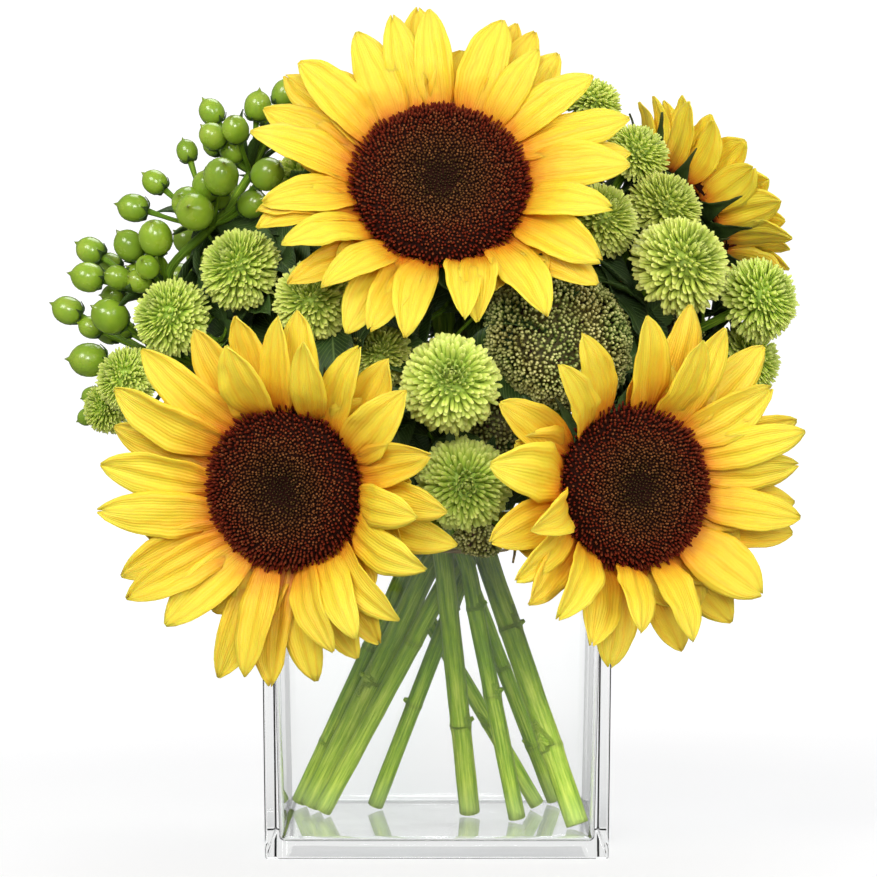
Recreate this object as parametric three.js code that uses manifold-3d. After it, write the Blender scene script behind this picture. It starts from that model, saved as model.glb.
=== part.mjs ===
// Cut sunflowers, green button mums, hypericum berries and trachelium, standing in a clear
// glass cube vase. Millimetres, +Z up, origin at the middle of the vase's underside. The
// front of the arrangement faces -Y.
//
// Every stem stands on the vase floor, leans through one narrow waist at the rim, where a tie
// holds the bunch, and fans out above it to its flower. Each flower is separate pieces: stem,
// calyx, ring of ray petals and seed disc on a sunflower, and a head on a branched stem for
// the rest.

import * as THREE from "three";
import { mergeVertices } from "three/addons/utils/BufferGeometryUtils.js";
import Module from "manifold-3d";

const wasm = await Module();
wasm.setup();

// ---- Driving dimensions -------------------------------------------------------------------

const VASE = {
  height: 127,
  bottomWidth: 125,
  topWidth: 128,
  wallAtRim: 3.6,
  wallAtFloor: 5,
  floor: 6,
  cornerRadius: 7,
  edgeRound: 1.5,
  cavityRound: 5,
};

const TIE = { height: 111, width: 2.4, thickness: 1.4, knot: 2.6 };

const FIT = 0.3; // running gap between pieces that rest on each other
const WAIST = 106; // height at which the leaning stems come closest together
const DOME_CENTRE = new THREE.Vector3(0, 0, 140); // the heads face away from here

const STEM_SIDES = 8;
const TWIG_SIDES = 6;
const PEDICEL_SIDES = 4;

// A stem is `foot` [x, y] on the vase floor, `waist` [x, y] in the bunch, and the points
// `above` through which it goes on to what it carries. Each flower's `at` is the middle of
// its head, and `facing` the way it looks.

// `disc` is the seed disc's radius and `petal` the ray petals' length past it. The petals
// stand in two rows, and each row leans forward by its own cup, in degrees.
const SUNFLOWERS = [
  {
    name: "top_sunflower",
    at: [1, -66, 244],
    facing: [0.02, -0.9, 0.43],
    disc: 32,
    petal: 39,
    frontCup: 24,
    backCup: 9,
    radius: 4.4,
    foot: [52.5, -26],
    waist: [19, -4.5],
    above: [[14.5, -4.5, 124], [6, -6, 170], [1, -26, 214]],
  },
  {
    name: "left_sunflower",
    at: [-53, -95, 136],
    facing: [-0.3, -0.94, -0.12],
    disc: 28.5,
    petal: 38,
    frontCup: 24,
    backCup: 9,
    radius: 3.9,
    foot: [12.6, 12],
    waist: [2.5, -16.5],
    above: [[1, -18.5, 115], [-13, -36, 127], [-34, -57, 137]],
  },
  {
    name: "right_sunflower",
    at: [69, -88, 136],
    facing: [0.42, -0.9, 0],
    disc: 29,
    petal: 38,
    frontCup: 24,
    backCup: 9,
    radius: 3.5,
    foot: [-44, 12],
    waist: [8, -7],
    above: [[12, -11, 114], [27, -27, 122], [46, -44, 131]],
  },
  {
    name: "rear_sunflower",
    at: [96, 24, 239],
    facing: [0.76, 0.32, 0.57],
    disc: 24,
    petal: 27,
    frontCup: 50,
    backCup: 38,
    radius: 4.4,
    foot: [-49, 26],
    waist: [-1, 2],
    above: [[22, 12, 130], [46, 17, 162], [64, 20, 196]],
  },
];

const PETALS_PER_ROW = 12;
const PETAL_THICKNESS = 1;
const PETAL_WIDTH = 17;
const BRACTS = 9;
const CALYX_DEPTH = 15;

// `r` is a button mum's radius. Two branched stems carry them.
const MUM_SPRAYS = [
  {
    name: "mum_stem_left",
    radius: 3.3,
    foot: [30.5, -3],
    waist: [10.8, -17],
    above: [[2, -32, 128], [-6, -36, 150]],
    heads: [
      { name: "button_mum_01", at: [-73, -48, 216], r: 15.2, via: [-34, -34, 178] },
      { name: "button_mum_02", at: [-99, -42, 198], r: 14.5, via: [-48, -36, 166] },
      { name: "button_mum_03", at: [-116, -37, 175], r: 12, via: [-56, -36, 158] },
      { name: "button_mum_04", at: [-125, -16, 164], r: 10, via: [-60, -26, 154] },
      { name: "button_mum_05", at: [-45, -68, 204], r: 15 },
      { name: "button_mum_06", at: [-21, -66, 184], r: 12.3 },
      { name: "button_mum_07", at: [5, -98, 174], r: 17.2 },
      { name: "button_mum_08", at: [10, -84, 137], r: 16.5, via: [-6, -52, 142] },
      { name: "button_mum_16", at: [-52, 26, 252], r: 14, via: [-26, -6, 190] },
      { name: "button_mum_17", at: [-62, 66, 214], r: 15, via: [-30, 14, 176] },
    ],
  },
  {
    name: "mum_stem_right",
    radius: 3.1,
    foot: [-54, 40],
    waist: [-9.5, 10],
    above: [[5, 20, 128], [28, 8, 158]],
    heads: [
      { name: "button_mum_09", at: [61, -45, 234], r: 14 },
      { name: "button_mum_10", at: [76, -10, 260], r: 12.6 },
      { name: "button_mum_11", at: [86, -22, 239], r: 14.6 },
      { name: "button_mum_12", at: [90, -58, 217], r: 18 },
      { name: "button_mum_13", at: [121, -30, 205], r: 15.6 },
      { name: "button_mum_14", at: [119, -5, 182], r: 13.7 },
      { name: "button_mum_15", at: [60, 12, 281], r: 11.5 },
      { name: "button_mum_18", at: [30, 86, 204], r: 15 },
      { name: "button_mum_19", at: [66, 80, 178], r: 15 },
    ],
  },
];
const MUM_TWIG_RADIUS = 1.7;

// Trachelium: domes of tiny buds on one branched stem.
const TRACHELIUM = {
  name: "trachelium_stem",
  radius: 3.1,
  foot: [-24, 30],
  waist: [13, 4],
  above: [[24, 2, 124], [34, -12, 148]],
  heads: [
    { name: "trachelium_01", at: [44, -62, 190], r: 29 },
    { name: "trachelium_02", at: [25, -60, 158], r: 14 },
    {
      name: "trachelium_03",
      at: [15, -73, 117],
      r: 10,
      facing: [0, -0.5, -0.87],
      via: [16, -44, 136],
    },
    { name: "trachelium_04", at: [-16, 72, 212], r: 30, via: [2, 20, 172] },
    { name: "trachelium_05", at: [6, 22, 260], r: 30 },
    { name: "trachelium_06", at: [99, 58, 184], r: 20, via: [66, 16, 160] },
    { name: "trachelium_07", at: [-36, -8, 238], r: 20, via: [-6, -22, 178] },
  ],
};
const TRACHELIUM_TWIG_RADIUS = 1.5;

// Hypericum: each fork of a branch ends in a cluster of berries, given as [x, y, z, radius].
const HYPERICUM = [
  {
    name: "hypericum_left",
    radius: 3,
    foot: [39, 30],
    waist: [-18, 17.5],
    above: [[-20.5, 17, 115], [-38, 8, 130], [-64, -4, 158]],
    forks: [
      {
        at: [-92, -8, 180],
        berries: [
          [-140, -8, 200.5, 5.3],
          [-131, -20, 181.6, 6.4],
          [-131, -10, 194, 4.2],
          [-122, -30, 198, 6.5],
          [-132, 2, 168, 3.4],
          [-133, -4, 160, 3.4],
        ],
      },
      {
        at: [-100, -16, 206],
        berries: [
          [-131, -10, 223, 5.1],
          [-131, -22, 212.6, 5.6],
          [-115, -25, 224.5, 5.6],
          [-107, -38, 216, 4.4],
          [-111, -30, 211, 4.5],
          [-122, -14, 206, 4.1],
          [-119, -30, 212.4, 4.5],
          [-104, -38, 227, 6.3],
        ],
      },
      {
        at: [-84, -20, 232],
        berries: [
          [-89, -45, 236, 7],
          [-79, -48, 249, 6.6],
          [-85, -38, 246, 5.5],
          [-114, -20, 238.6, 5.3],
          [-106, -18, 248.4, 4.5],
          [-94, -15, 260.3, 4],
          [-62, -45, 250, 5.9],
        ],
      },
      {
        at: [-70, -12, 252],
        berries: [
          [-85, -12, 275.2, 4.7],
          [-84, -22, 265.4, 4.9],
          [-75, -28, 267.6, 5],
          [-67, -20, 276.8, 5.1],
          [-57, -15, 282, 4.9],
        ],
      },
    ],
  },
  {
    name: "hypericum_back",
    radius: 3,
    foot: [46, 46],
    waist: [9, 13],
    above: [[2, 32, 130], [-20, 46, 158]],
    forks: [
      {
        at: [-52, 52, 178],
        berries: [
          [-92, 56, 196, 6],
          [-98, 46, 184, 5.6],
          [-84, 66, 184, 6.2],
          [-94, 58, 172, 5],
          [-104, 34, 196, 5.2],
        ],
      },
      {
        at: [-62, 44, 206],
        berries: [
          [-92, 44, 222, 6.4],
          [-100, 30, 214, 5.4],
          [-84, 50, 234, 5.6],
          [-96, 20, 228, 5.8],
          [-82, 30, 246, 6],
          [-72, 48, 244, 5],
        ],
      },
    ],
  },
];
const BRANCH_RADIUS = 1.7;
const PEDICEL_RADIUS = 0.9;

// Leaves, each on a stem at a point `on` that the stem runs through.
const LEAF_THICKNESS = 1;
const LEAVES = [
  {
    name: "hypericum_leaf_01",
    on: [-92, -8, 180],
    stemRadius: 1.7,
    towards: [0.1, 0.9, 0],
    length: 34,
    width: 15,
  },
  {
    name: "hypericum_leaf_02",
    on: [-100, -16, 206],
    stemRadius: 1.7,
    towards: [0.4, 0.9, 0],
    length: 30,
    width: 14,
  },
  {
    name: "hypericum_leaf_03",
    on: [-84, -20, 232],
    stemRadius: 2,
    towards: [0.8, -0.6, -0.3],
    length: 32,
    width: 14,
  },
  {
    name: "hypericum_leaf_04",
    on: [-52, 52, 178],
    stemRadius: 1.7,
    towards: [-0.2, 0.9, -0.3],
    length: 36,
    width: 16,
  },
  {
    name: "hypericum_leaf_05",
    on: [-62, 44, 206],
    stemRadius: 1.5,
    towards: [0.8, -0.2, 0.5],
    length: 34,
    width: 15,
  },
  {
    name: "mum_leaf_01",
    on: [-34, -34, 178],
    stemRadius: 1.7,
    towards: [0.5, 0.5, 0.6],
    length: 46,
    width: 24,
  },
  {
    name: "mum_leaf_02",
    on: [-60, -26, 154],
    stemRadius: 1.7,
    towards: [-0.1, 0.7, -0.5],
    length: 46,
    width: 24,
  },
  {
    name: "mum_leaf_03",
    on: [-6, -36, 150],
    stemRadius: 3.5,
    towards: [-0.5, 0.7, -0.4],
    length: 40,
    width: 22,
  },
  {
    name: "mum_leaf_04",
    on: [28, 8, 158],
    stemRadius: 3.1,
    towards: [-0.6, -0.1, 0.6],
    length: 46,
    width: 24,
  },
  {
    name: "mum_leaf_05",
    on: [5, 20, 128],
    stemRadius: 3.1,
    towards: [0.5, 0.85, 0.1],
    length: 44,
    width: 24,
  },
];

// ---- Helpers --------------------------------------------------------------------------------

const UP = new THREE.Vector3(0, 0, 1);
const point = (p) => new THREE.Vector3(p[0], p[1], p[2]);
const degrees = (d) => (d * Math.PI) / 180;

// A closed mesh as a solid that can be joined and cut.
function solid(geometry) {
  const bare = geometry.index ? geometry.toNonIndexed() : geometry.clone();
  for (const name of Object.keys(bare.attributes)) {
    if (name !== "position") bare.deleteAttribute(name);
  }
  const merged = mergeVertices(bare, 1e-3);
  return new wasm.Manifold(
    new wasm.Mesh({
      numProp: 3,
      vertProperties: merged.attributes.position.array,
      triVerts: new Uint32Array(merged.index.array),
    }),
  );
}

function geometryOf(made) {
  const parts = made.getMesh();
  return new THREE.BufferGeometry()
    .setAttribute("position", new THREE.BufferAttribute(parts.vertProperties, 3))
    .setIndex(new THREE.BufferAttribute(parts.triVerts, 1));
}

function join(geometries) {
  return geometryOf(geometries.map(solid).reduce((all, next) => all.add(next)));
}

// A round bar along a smooth curve through the points.
function tube(points, radius, sides, steps) {
  const section = new THREE.Shape().absarc(0, 0, radius, 0, 2 * Math.PI);
  return new THREE.ExtrudeGeometry(section, {
    steps,
    bevelEnabled: false,
    curveSegments: sides / 2, // a full circle gets two points for each segment
    extrudePath: new THREE.CatmullRomCurve3(points),
  });
}

// A body turned about its own +Z. The profile is [radius, height] from the bottom up.
function turned(profile, sides) {
  return new THREE.LatheGeometry(
    profile.map(([r, z]) => new THREE.Vector2(r, z)),
    sides,
  ).rotateX(Math.PI / 2);
}

function mesh(name, geometry, colour, roughness = 0.6) {
  const made = new THREE.Mesh(
    geometry,
    new THREE.MeshStandardMaterial({ color: colour, roughness, metalness: 0 }),
  );
  made.name = name;
  return made;
}

// Sets an object down at a place, with its own +Z turned to look along a direction.
function aim(object, at, look) {
  object.position.copy(at);
  object.quaternion.setFromUnitVectors(UP, look);
  return object;
}

const COLOURS = {
  petal: 0xf5cf2a,
  disc: 0x3a150c,
  calyx: 0x4a6a24,
  stem: 0x7fa32e,
  mum: 0xa9cc45,
  hypericum: 0x6fa32c,
  trachelium: 0x55702f,
  leaf: 0x35591f,
  glass: 0xe8f0ee,
  tie: 0xb9a06a,
};

// ---- Vase -----------------------------------------------------------------------------------

function roundedSquare(width, radius) {
  const flat = width / 2 - radius;
  return new THREE.Shape()
    .absarc(flat, flat, radius, 0, Math.PI / 2)
    .absarc(-flat, flat, radius, Math.PI / 2, Math.PI)
    .absarc(-flat, -flat, radius, Math.PI, 1.5 * Math.PI)
    .absarc(flat, -flat, radius, 1.5 * Math.PI, 2 * Math.PI);
}

// A square block with round corners and edges, that widens from its bottom to its top.
function taperedBlock(bottomWidth, topWidth, bottomZ, topZ, cornerRadius, edgeRound) {
  const height = topZ - bottomZ;
  const block = new THREE.ExtrudeGeometry(roundedSquare(bottomWidth, cornerRadius), {
    depth: height - 2 * edgeRound,
    bevelThickness: edgeRound,
    bevelSize: edgeRound,
    bevelOffset: -edgeRound,
    bevelSegments: 2,
    curveSegments: 2,
  }).translate(0, 0, bottomZ + edgeRound);
  const position = block.attributes.position;
  for (let i = 0; i < position.count; i++) {
    const rise = (position.getZ(i) - bottomZ) / height;
    const scale = 1 + rise * (topWidth / bottomWidth - 1);
    position.setXY(i, position.getX(i) * scale, position.getY(i) * scale);
  }
  return block;
}

function vase() {
  const { height, bottomWidth, topWidth, wallAtRim, wallAtFloor, floor } = VASE;
  const over = 20; // how far the cavity's cutter runs past the rim
  const cavityTop = topWidth - 2 * wallAtRim;
  const cavityBottom = bottomWidth - 2 * wallAtFloor;
  const flare = ((cavityTop - cavityBottom) * over) / (height - floor);
  const outside = taperedBlock(bottomWidth, topWidth, 0, height, VASE.cornerRadius, VASE.edgeRound);
  const cavity = taperedBlock(
    cavityBottom,
    cavityTop + flare,
    floor,
    height + over,
    VASE.cornerRadius - 1,
    VASE.cavityRound,
  );
  return mesh("vase", geometryOf(solid(outside).subtract(solid(cavity))), COLOURS.glass, 0.05);
}

// ---- Stems ----------------------------------------------------------------------------------

// The points a stem runs through: straight from its foot to the waist of the bunch, then on.
// Its foot is lifted so that the low edge of the slanted cut end rests on the vase floor.
function stemPoints({ foot, waist, above, radius }) {
  const top = new THREE.Vector3(waist[0], waist[1], WAIST);
  const bottom = new THREE.Vector3(foot[0], foot[1], VASE.floor + FIT);
  const direction = top.clone().sub(bottom).normalize();
  bottom.z += radius * Math.sqrt(1 - direction.z ** 2);
  const straight = [0.35, 0.75].map((t) => bottom.clone().lerp(top, t));
  return [bottom, ...straight, top, ...above.map(point)];
}

// The last points of a stem that runs up to the underside of a head.
function neck(at, look, depth, straight) {
  return [at.clone().addScaledVector(look, -depth - straight), at.clone().addScaledVector(look, -depth)];
}

// The band that holds the bunch together: it follows the outline that the leaning stems have
// at its lower and upper edge, and its two ends meet under a knot.
function stemTie(stems) {
  const crossings = stems.flatMap(({ points, radius }) => {
    const curve = new THREE.CatmullRomCurve3(points);
    return [-TIE.width / 2, TIE.width / 2].map((edge) => {
      const at = parameterAt(curve, TIE.height + edge);
      return {
        at: curve.getPoint(at).setZ(TIE.height),
        reach: radius / curve.getTangent(at).z + 4 * FIT + TIE.thickness / 2,
      };
    });
  });
  const steps = 30;
  const around = [];
  for (let i = 0; i <= steps; i++) {
    const angle = ((i + 0.1) / (steps + 0.4)) * 2 * Math.PI;
    const out = new THREE.Vector3(Math.cos(angle), Math.sin(angle), 0);
    const outmost = crossings
      .map(({ at, reach }) => at.clone().addScaledVector(out, reach))
      .reduce((best, next) => (next.dot(out) > best.dot(out) ? next : best));
    around.push(outmost);
  }
  const section = new THREE.Shape()
    .moveTo(-TIE.width / 2, -TIE.thickness / 2)
    .lineTo(TIE.width / 2, -TIE.thickness / 2)
    .lineTo(TIE.width / 2, TIE.thickness / 2)
    .lineTo(-TIE.width / 2, TIE.thickness / 2);
  const band = new THREE.ExtrudeGeometry(section, {
    steps,
    bevelEnabled: false,
    extrudePath: new THREE.CatmullRomCurve3(around),
  });
  const ends = around[0].clone().lerp(around[steps], 0.5);
  const knot = new THREE.SphereGeometry(TIE.knot, 8, 6).translate(ends.x + 1, ends.y, ends.z);
  return mesh("stem_tie", join([band, knot]), COLOURS.tie, 0.9);
}

// The parameter at which a rising curve passes a height.
function parameterAt(curve, height) {
  let low = 0;
  let high = 1;
  for (let i = 0; i < 30; i++) {
    const middle = (low + high) / 2;
    if (curve.getPoint(middle).z < height) low = middle;
    else high = middle;
  }
  return low;
}

// ---- Sunflowers -----------------------------------------------------------------------------

// In a flower's own frame +Z is the way it faces, and its disc stands on z = 0.
function seedDisc(radius) {
  const profile = [
    [0, 0],
    [radius - 2.5, 0],
    [radius, 2.5],
    [radius - 0.5, 6.5],
    [radius * 0.82, 9],
    [0, 9],
  ];
  return turned(profile, 20);
}

// A leaf-like outline that starts on the X axis and ends in a point on +Y.
function pointedOutline(length, width, root) {
  return new THREE.Shape()
    .moveTo(-width * root, 0)
    .quadraticCurveTo(-width * 0.62, length * 0.5, 0, length)
    .quadraticCurveTo(width * 0.62, length * 0.5, width * root, 0);
}

function blade(outline, thickness) {
  return new THREE.ExtrudeGeometry(outline, {
    depth: thickness,
    bevelEnabled: false,
    curveSegments: 2,
  });
}

// A blade with its root at this radius and height, leaning up by `cup` degrees, turned about Z.
function radial(made, rootRadius, rootZ, cup, turn) {
  return made.rotateX(degrees(cup)).translate(0, rootRadius, rootZ).rotateZ(turn);
}

const RING_TOP = -FIT;
const RING_BOTTOM = RING_TOP - 2;
const CALYX_TOP = RING_BOTTOM - FIT;
const CALYX_BOTTOM = CALYX_TOP - CALYX_DEPTH;

function petalRing({ disc, petal, frontCup, backCup }) {
  const inner = disc * 0.7;
  const outer = disc + 2.4;
  const rim = [
    [inner, RING_BOTTOM],
    [outer, RING_BOTTOM],
    [outer, RING_TOP],
    [inner, RING_TOP],
    [inner, RING_BOTTOM],
  ];
  const parts = [turned(rim, 20)];
  const step = (2 * Math.PI) / PETALS_PER_ROW;
  for (let i = 0; i < PETALS_PER_ROW; i++) {
    const front = blade(pointedOutline(petal - 2, PETAL_WIDTH, 0.22), PETAL_THICKNESS);
    const back = blade(pointedOutline(petal + 1, PETAL_WIDTH + 1, 0.22), PETAL_THICKNESS);
    parts.push(radial(front, disc + 1.6, RING_BOTTOM + 0.9, frontCup, i * step));
    parts.push(radial(back, disc + 0.5, RING_BOTTOM + 0.1, backCup, (i + 0.5) * step));
  }
  return join(parts);
}

function calyx(disc, stemRadius) {
  const cup = [
    [0, CALYX_BOTTOM],
    [stemRadius + 1.5, CALYX_BOTTOM],
    [disc * 0.55, CALYX_BOTTOM + 5],
    [disc * 0.95, CALYX_TOP - 4],
    [disc, CALYX_TOP],
    [0, CALYX_TOP],
  ];
  const parts = [turned(cup, 18)];
  for (let i = 0; i < BRACTS; i++) {
    const bract = blade(pointedOutline(disc * 0.85, 11, 0.45), 1.2);
    parts.push(radial(bract, disc * 0.8, CALYX_TOP - 3.4, 2, (i * 2 * Math.PI) / BRACTS));
  }
  return join(parts);
}

function sunflower(flower) {
  const { name, at, facing, disc, radius } = flower;
  const look = point(facing).normalize();
  const head = aim(new THREE.Group(), point(at), look);
  head.add(mesh(name + "_disc", seedDisc(disc), COLOURS.disc, 0.9));
  head.add(mesh(name + "_petals", petalRing(flower), COLOURS.petal));
  head.add(mesh(name + "_calyx", calyx(disc, radius), COLOURS.calyx));
  const path = [...stemPoints(flower), ...neck(point(at), look, FIT - CALYX_BOTTOM, 8)];
  const group = new THREE.Group();
  group.add(head);
  group.add(mesh(name + "_stem", tube(path, radius, STEM_SIDES, 14), COLOURS.stem));
  return group;
}

// ---- Button mums ----------------------------------------------------------------------------

// The heads look away from the middle of the dome, and those in front turn a little more
// towards the front.
function outward(at) {
  const look = point(at).sub(DOME_CENTRE).normalize();
  if (at[1] < 0) look.y -= 0.35;
  return look.normalize();
}

const MUM_BACK = 0.7; // how far a mum's flat base lies behind its middle, in radii

function mumHead(r) {
  const profile = [
    [0, -MUM_BACK * r],
    [0.28 * r, -MUM_BACK * r],
    [0.8 * r, -0.42 * r],
    [r, 0],
    [0.86 * r, 0.45 * r],
    [0.48 * r, 0.72 * r],
    [0, 0.76 * r],
  ];
  return turned(profile, 9);
}

// ---- Trachelium -----------------------------------------------------------------------------

const UMBEL_BACK = 0.95; // how far its base lies behind its middle, in radii

function umbel(r) {
  const profile = [
    [0, -UMBEL_BACK * r],
    [0.12 * r, -UMBEL_BACK * r],
    [0.6 * r, -0.5 * r],
    [r, -0.05 * r],
    [0.92 * r, 0.25 * r],
    [0.55 * r, 0.48 * r],
    [0, 0.56 * r],
  ];
  return turned(profile, 12);
}

// A stem that branches to a head at the end of each branch.
function spray(plant, headOf, back, colour, twigRadius) {
  const main = stemPoints(plant);
  const fork = main[main.length - 1];
  const parts = [tube(main, plant.radius, STEM_SIDES, 12)];
  const group = new THREE.Group();
  for (const head of plant.heads) {
    const look = head.facing ? point(head.facing).normalize() : outward(head.at);
    group.add(aim(mesh(head.name, headOf(head.r), colour, 0.8), point(head.at), look));
    const via = head.via ? [point(head.via)] : [];
    const path = [fork, ...via, ...neck(point(head.at), look, back * head.r + FIT, 8)];
    parts.push(tube(path, twigRadius, TWIG_SIDES, 5));
  }
  group.add(mesh(plant.name, join(parts), COLOURS.stem));
  return group;
}

// ---- Hypericum ------------------------------------------------------------------------------

// A berry in its own frame: its base on z = 0 and its pointed tip on +Z.
function berryShape(r) {
  const profile = [
    [0, 0],
    [0.7 * r, 0.35 * r],
    [r, 1.1 * r],
    [0.62 * r, 1.95 * r],
    [0, 2.5 * r],
  ];
  return turned(profile, 6);
}

function berry([x, y, z, r], from) {
  const middle = new THREE.Vector3(x, y, z);
  const look = middle.clone().sub(from).normalize();
  const base = middle.clone().addScaledVector(look, -1.1 * r);
  const placed = aim(new THREE.Object3D(), base, look);
  placed.updateMatrix();
  return { body: berryShape(r).applyMatrix4(placed.matrix), base, look };
}

function hypericum(plant) {
  const main = stemPoints(plant);
  const parts = [tube(main, plant.radius, STEM_SIDES, 12)];
  let last = main[main.length - 1];
  let towards = last.clone().sub(main[main.length - 2]).normalize();
  for (const fork of plant.forks) {
    const next = point(fork.at);
    const bend = last.clone().addScaledVector(towards, last.distanceTo(next) * 0.3);
    parts.push(tube([last, bend, next], BRANCH_RADIUS, TWIG_SIDES, 4));
    for (const each of fork.berries) {
      const { body, base, look } = berry(each, next);
      const inside = base.clone().addScaledVector(look, 1);
      parts.push(body, tube([next, inside], PEDICEL_RADIUS, PEDICEL_SIDES, 1));
    }
    towards = next.clone().sub(bend).normalize();
    last = next;
  }
  return mesh(plant.name, join(parts), COLOURS.hypericum, 0.3);
}

// ---- Leaves ---------------------------------------------------------------------------------

// A leaf whose root rests on the stem at one of the points the stem runs through.
function leaf({ name, on, stemRadius, towards, length, width }) {
  const along = point(towards).normalize();
  const across = along.clone().cross(point(on).sub(DOME_CENTRE)).normalize();
  const normal = across.clone().cross(along);
  const root = point(on).addScaledVector(along, stemRadius + 2 * FIT);
  const placed = new THREE.Matrix4().makeBasis(across, along, normal).setPosition(root);
  const outline = pointedOutline(length, width, 0.12);
  const made = mesh(name, blade(outline, LEAF_THICKNESS), COLOURS.leaf);
  made.applyMatrix4(placed);
  return made;
}

// ---- The whole arrangement ------------------------------------------------------------------

const arrangement = new THREE.Group();
arrangement.add(vase());
for (const flower of SUNFLOWERS) arrangement.add(sunflower(flower));
for (const plant of MUM_SPRAYS) {
  arrangement.add(spray(plant, mumHead, MUM_BACK, COLOURS.mum, MUM_TWIG_RADIUS));
}
arrangement.add(
  spray(TRACHELIUM, umbel, UMBEL_BACK, COLOURS.trachelium, TRACHELIUM_TWIG_RADIUS),
);
for (const plant of HYPERICUM) arrangement.add(hypericum(plant));
for (const one of LEAVES) arrangement.add(leaf(one));
const stems = [...SUNFLOWERS, ...MUM_SPRAYS, TRACHELIUM, ...HYPERICUM].map((plant) => ({
  points: stemPoints(plant),
  radius: plant.radius,
}));
arrangement.add(stemTie(stems));

export default arrangement;
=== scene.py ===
"""Cut sunflowers, green button mums, hypericum berries and trachelium in a glass cube vase."""

import math
import random

import bmesh
import bpy
from mathutils import Matrix, Vector, kdtree, noise


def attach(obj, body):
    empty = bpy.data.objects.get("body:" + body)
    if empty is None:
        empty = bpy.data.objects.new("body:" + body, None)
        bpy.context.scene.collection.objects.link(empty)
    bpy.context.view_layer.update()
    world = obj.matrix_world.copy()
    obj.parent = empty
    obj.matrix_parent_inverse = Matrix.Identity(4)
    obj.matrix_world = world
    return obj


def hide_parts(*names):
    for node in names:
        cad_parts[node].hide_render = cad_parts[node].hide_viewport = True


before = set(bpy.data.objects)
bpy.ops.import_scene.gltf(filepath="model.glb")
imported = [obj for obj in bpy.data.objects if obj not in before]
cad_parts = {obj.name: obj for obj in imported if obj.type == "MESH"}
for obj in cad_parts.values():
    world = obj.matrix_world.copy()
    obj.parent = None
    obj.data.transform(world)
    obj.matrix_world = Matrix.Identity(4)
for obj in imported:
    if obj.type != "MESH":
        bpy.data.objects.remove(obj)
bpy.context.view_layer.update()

# ---- The bouquet's sizes, in millimetres, as the CAD has them -------------------------------

MM = 0.001
UP = Vector((0, 0, 1))
GOLDEN_TURN = math.radians(137.508)

VASE_HEIGHT = 127
VASE_BOTTOM, VASE_TOP = 125, 128
VASE_FLOOR = 6
WALL_AT_RIM, WALL_AT_FLOOR = 3.6, 5
FIT = 0.3
WAIST = 106
DOME_CENTRE = Vector((0, 0, 140))

# The camera, which also tells where in the bouquet a point of the photo can be.
CAMERA_AT = (0.6, -1303.5, 179)
CAMERA_PITCH = 1.2  # degrees below level
CAMERA_LENS, SENSOR_WIDTH = 140.5, 36
PHOTO_SIZE = 877  # pixels each way

# Each stem: the flower it carries, its radius, its foot on the vase floor, where it passes the
# waist of the bunch, the points above that, and the heights of its knots.
STEMS = {
    "top_sunflower": (4.4, (52.5, -26), (19, -4.5),
                      [(14.5, -4.5, 124), (6, -6, 170), (1, -26, 214)], [36, 80]),
    "left_sunflower": (3.9, (12.6, 12), (2.5, -16.5),
                       [(1, -18.5, 115), (-13, -36, 127), (-34, -57, 137)], [42]),
    "right_sunflower": (3.5, (-44, 12), (8, -7),
                        [(12, -11, 114), (27, -27, 122), (46, -44, 131)], [74]),
    "rear_sunflower": (4.4, (-49, 26), (-1, 2),
                       [(22, 12, 130), (46, 17, 162), (64, 20, 196)], [58]),
    "mum_stem_left": (3.3, (30.5, -3), (10.8, -17), [(2, -32, 128), (-6, -36, 150)], [55, 88]),
    "mum_stem_right": (3.1, (-54, 40), (-9.5, 10), [(5, 20, 128), (28, 8, 158)], [32, 70]),
    "trachelium_stem": (3.1, (-24, 30), (13, 4), [(24, 2, 124), (34, -12, 148)], [48, 84]),
    "hypericum_left": (3.0, (39, 30), (-18, 17.5),
                       [(-20.5, 17, 115), (-38, 8, 130), (-64, -4, 158)], [40, 66]),
    "hypericum_back": (3.0, (46, 46), (9, 13), [(2, 32, 130), (-20, 46, 158)], [30, 62]),
}

# Each sunflower: middle of its head, the way it faces, seed disc radius.
SUNFLOWERS = {
    "top_sunflower": ((1, -66, 244), (0.02, -0.9, 0.43), 32),
    "left_sunflower": ((-53, -95, 136), (-0.3, -0.94, -0.12), 28.5),
    "right_sunflower": ((69, -88, 136), (0.42, -0.9, 0), 29),
    "rear_sunflower": ((96, 24, 239), (0.76, 0.32, 0.57), 24),
}

# How the petals of a flower were read in an enlarged view of the photo: the view's
# corner in the photo's pixels, how much it is enlarged, its pixels in a millimetre at the
# petals, the usual length of a front petal, and the usual lean of the front and the back row
# in degrees.
PETAL_VIEWS = {
    "top_sunflower": ((245, 0), 1568 / 395, 10.9, 38.5, (24, 10)),
    "left_sunflower": ((90, 305), 1568 / 385, 11.5, 37.5, (22, 9)),
    "right_sunflower": ((485, 295), 1568 / 380, 11.6, 37.5, (22, 9)),
}
BACK_PETALS_LONGER = 1.5
NARROWEST_PETAL = (14, 12.5)  # back row and front row

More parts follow.
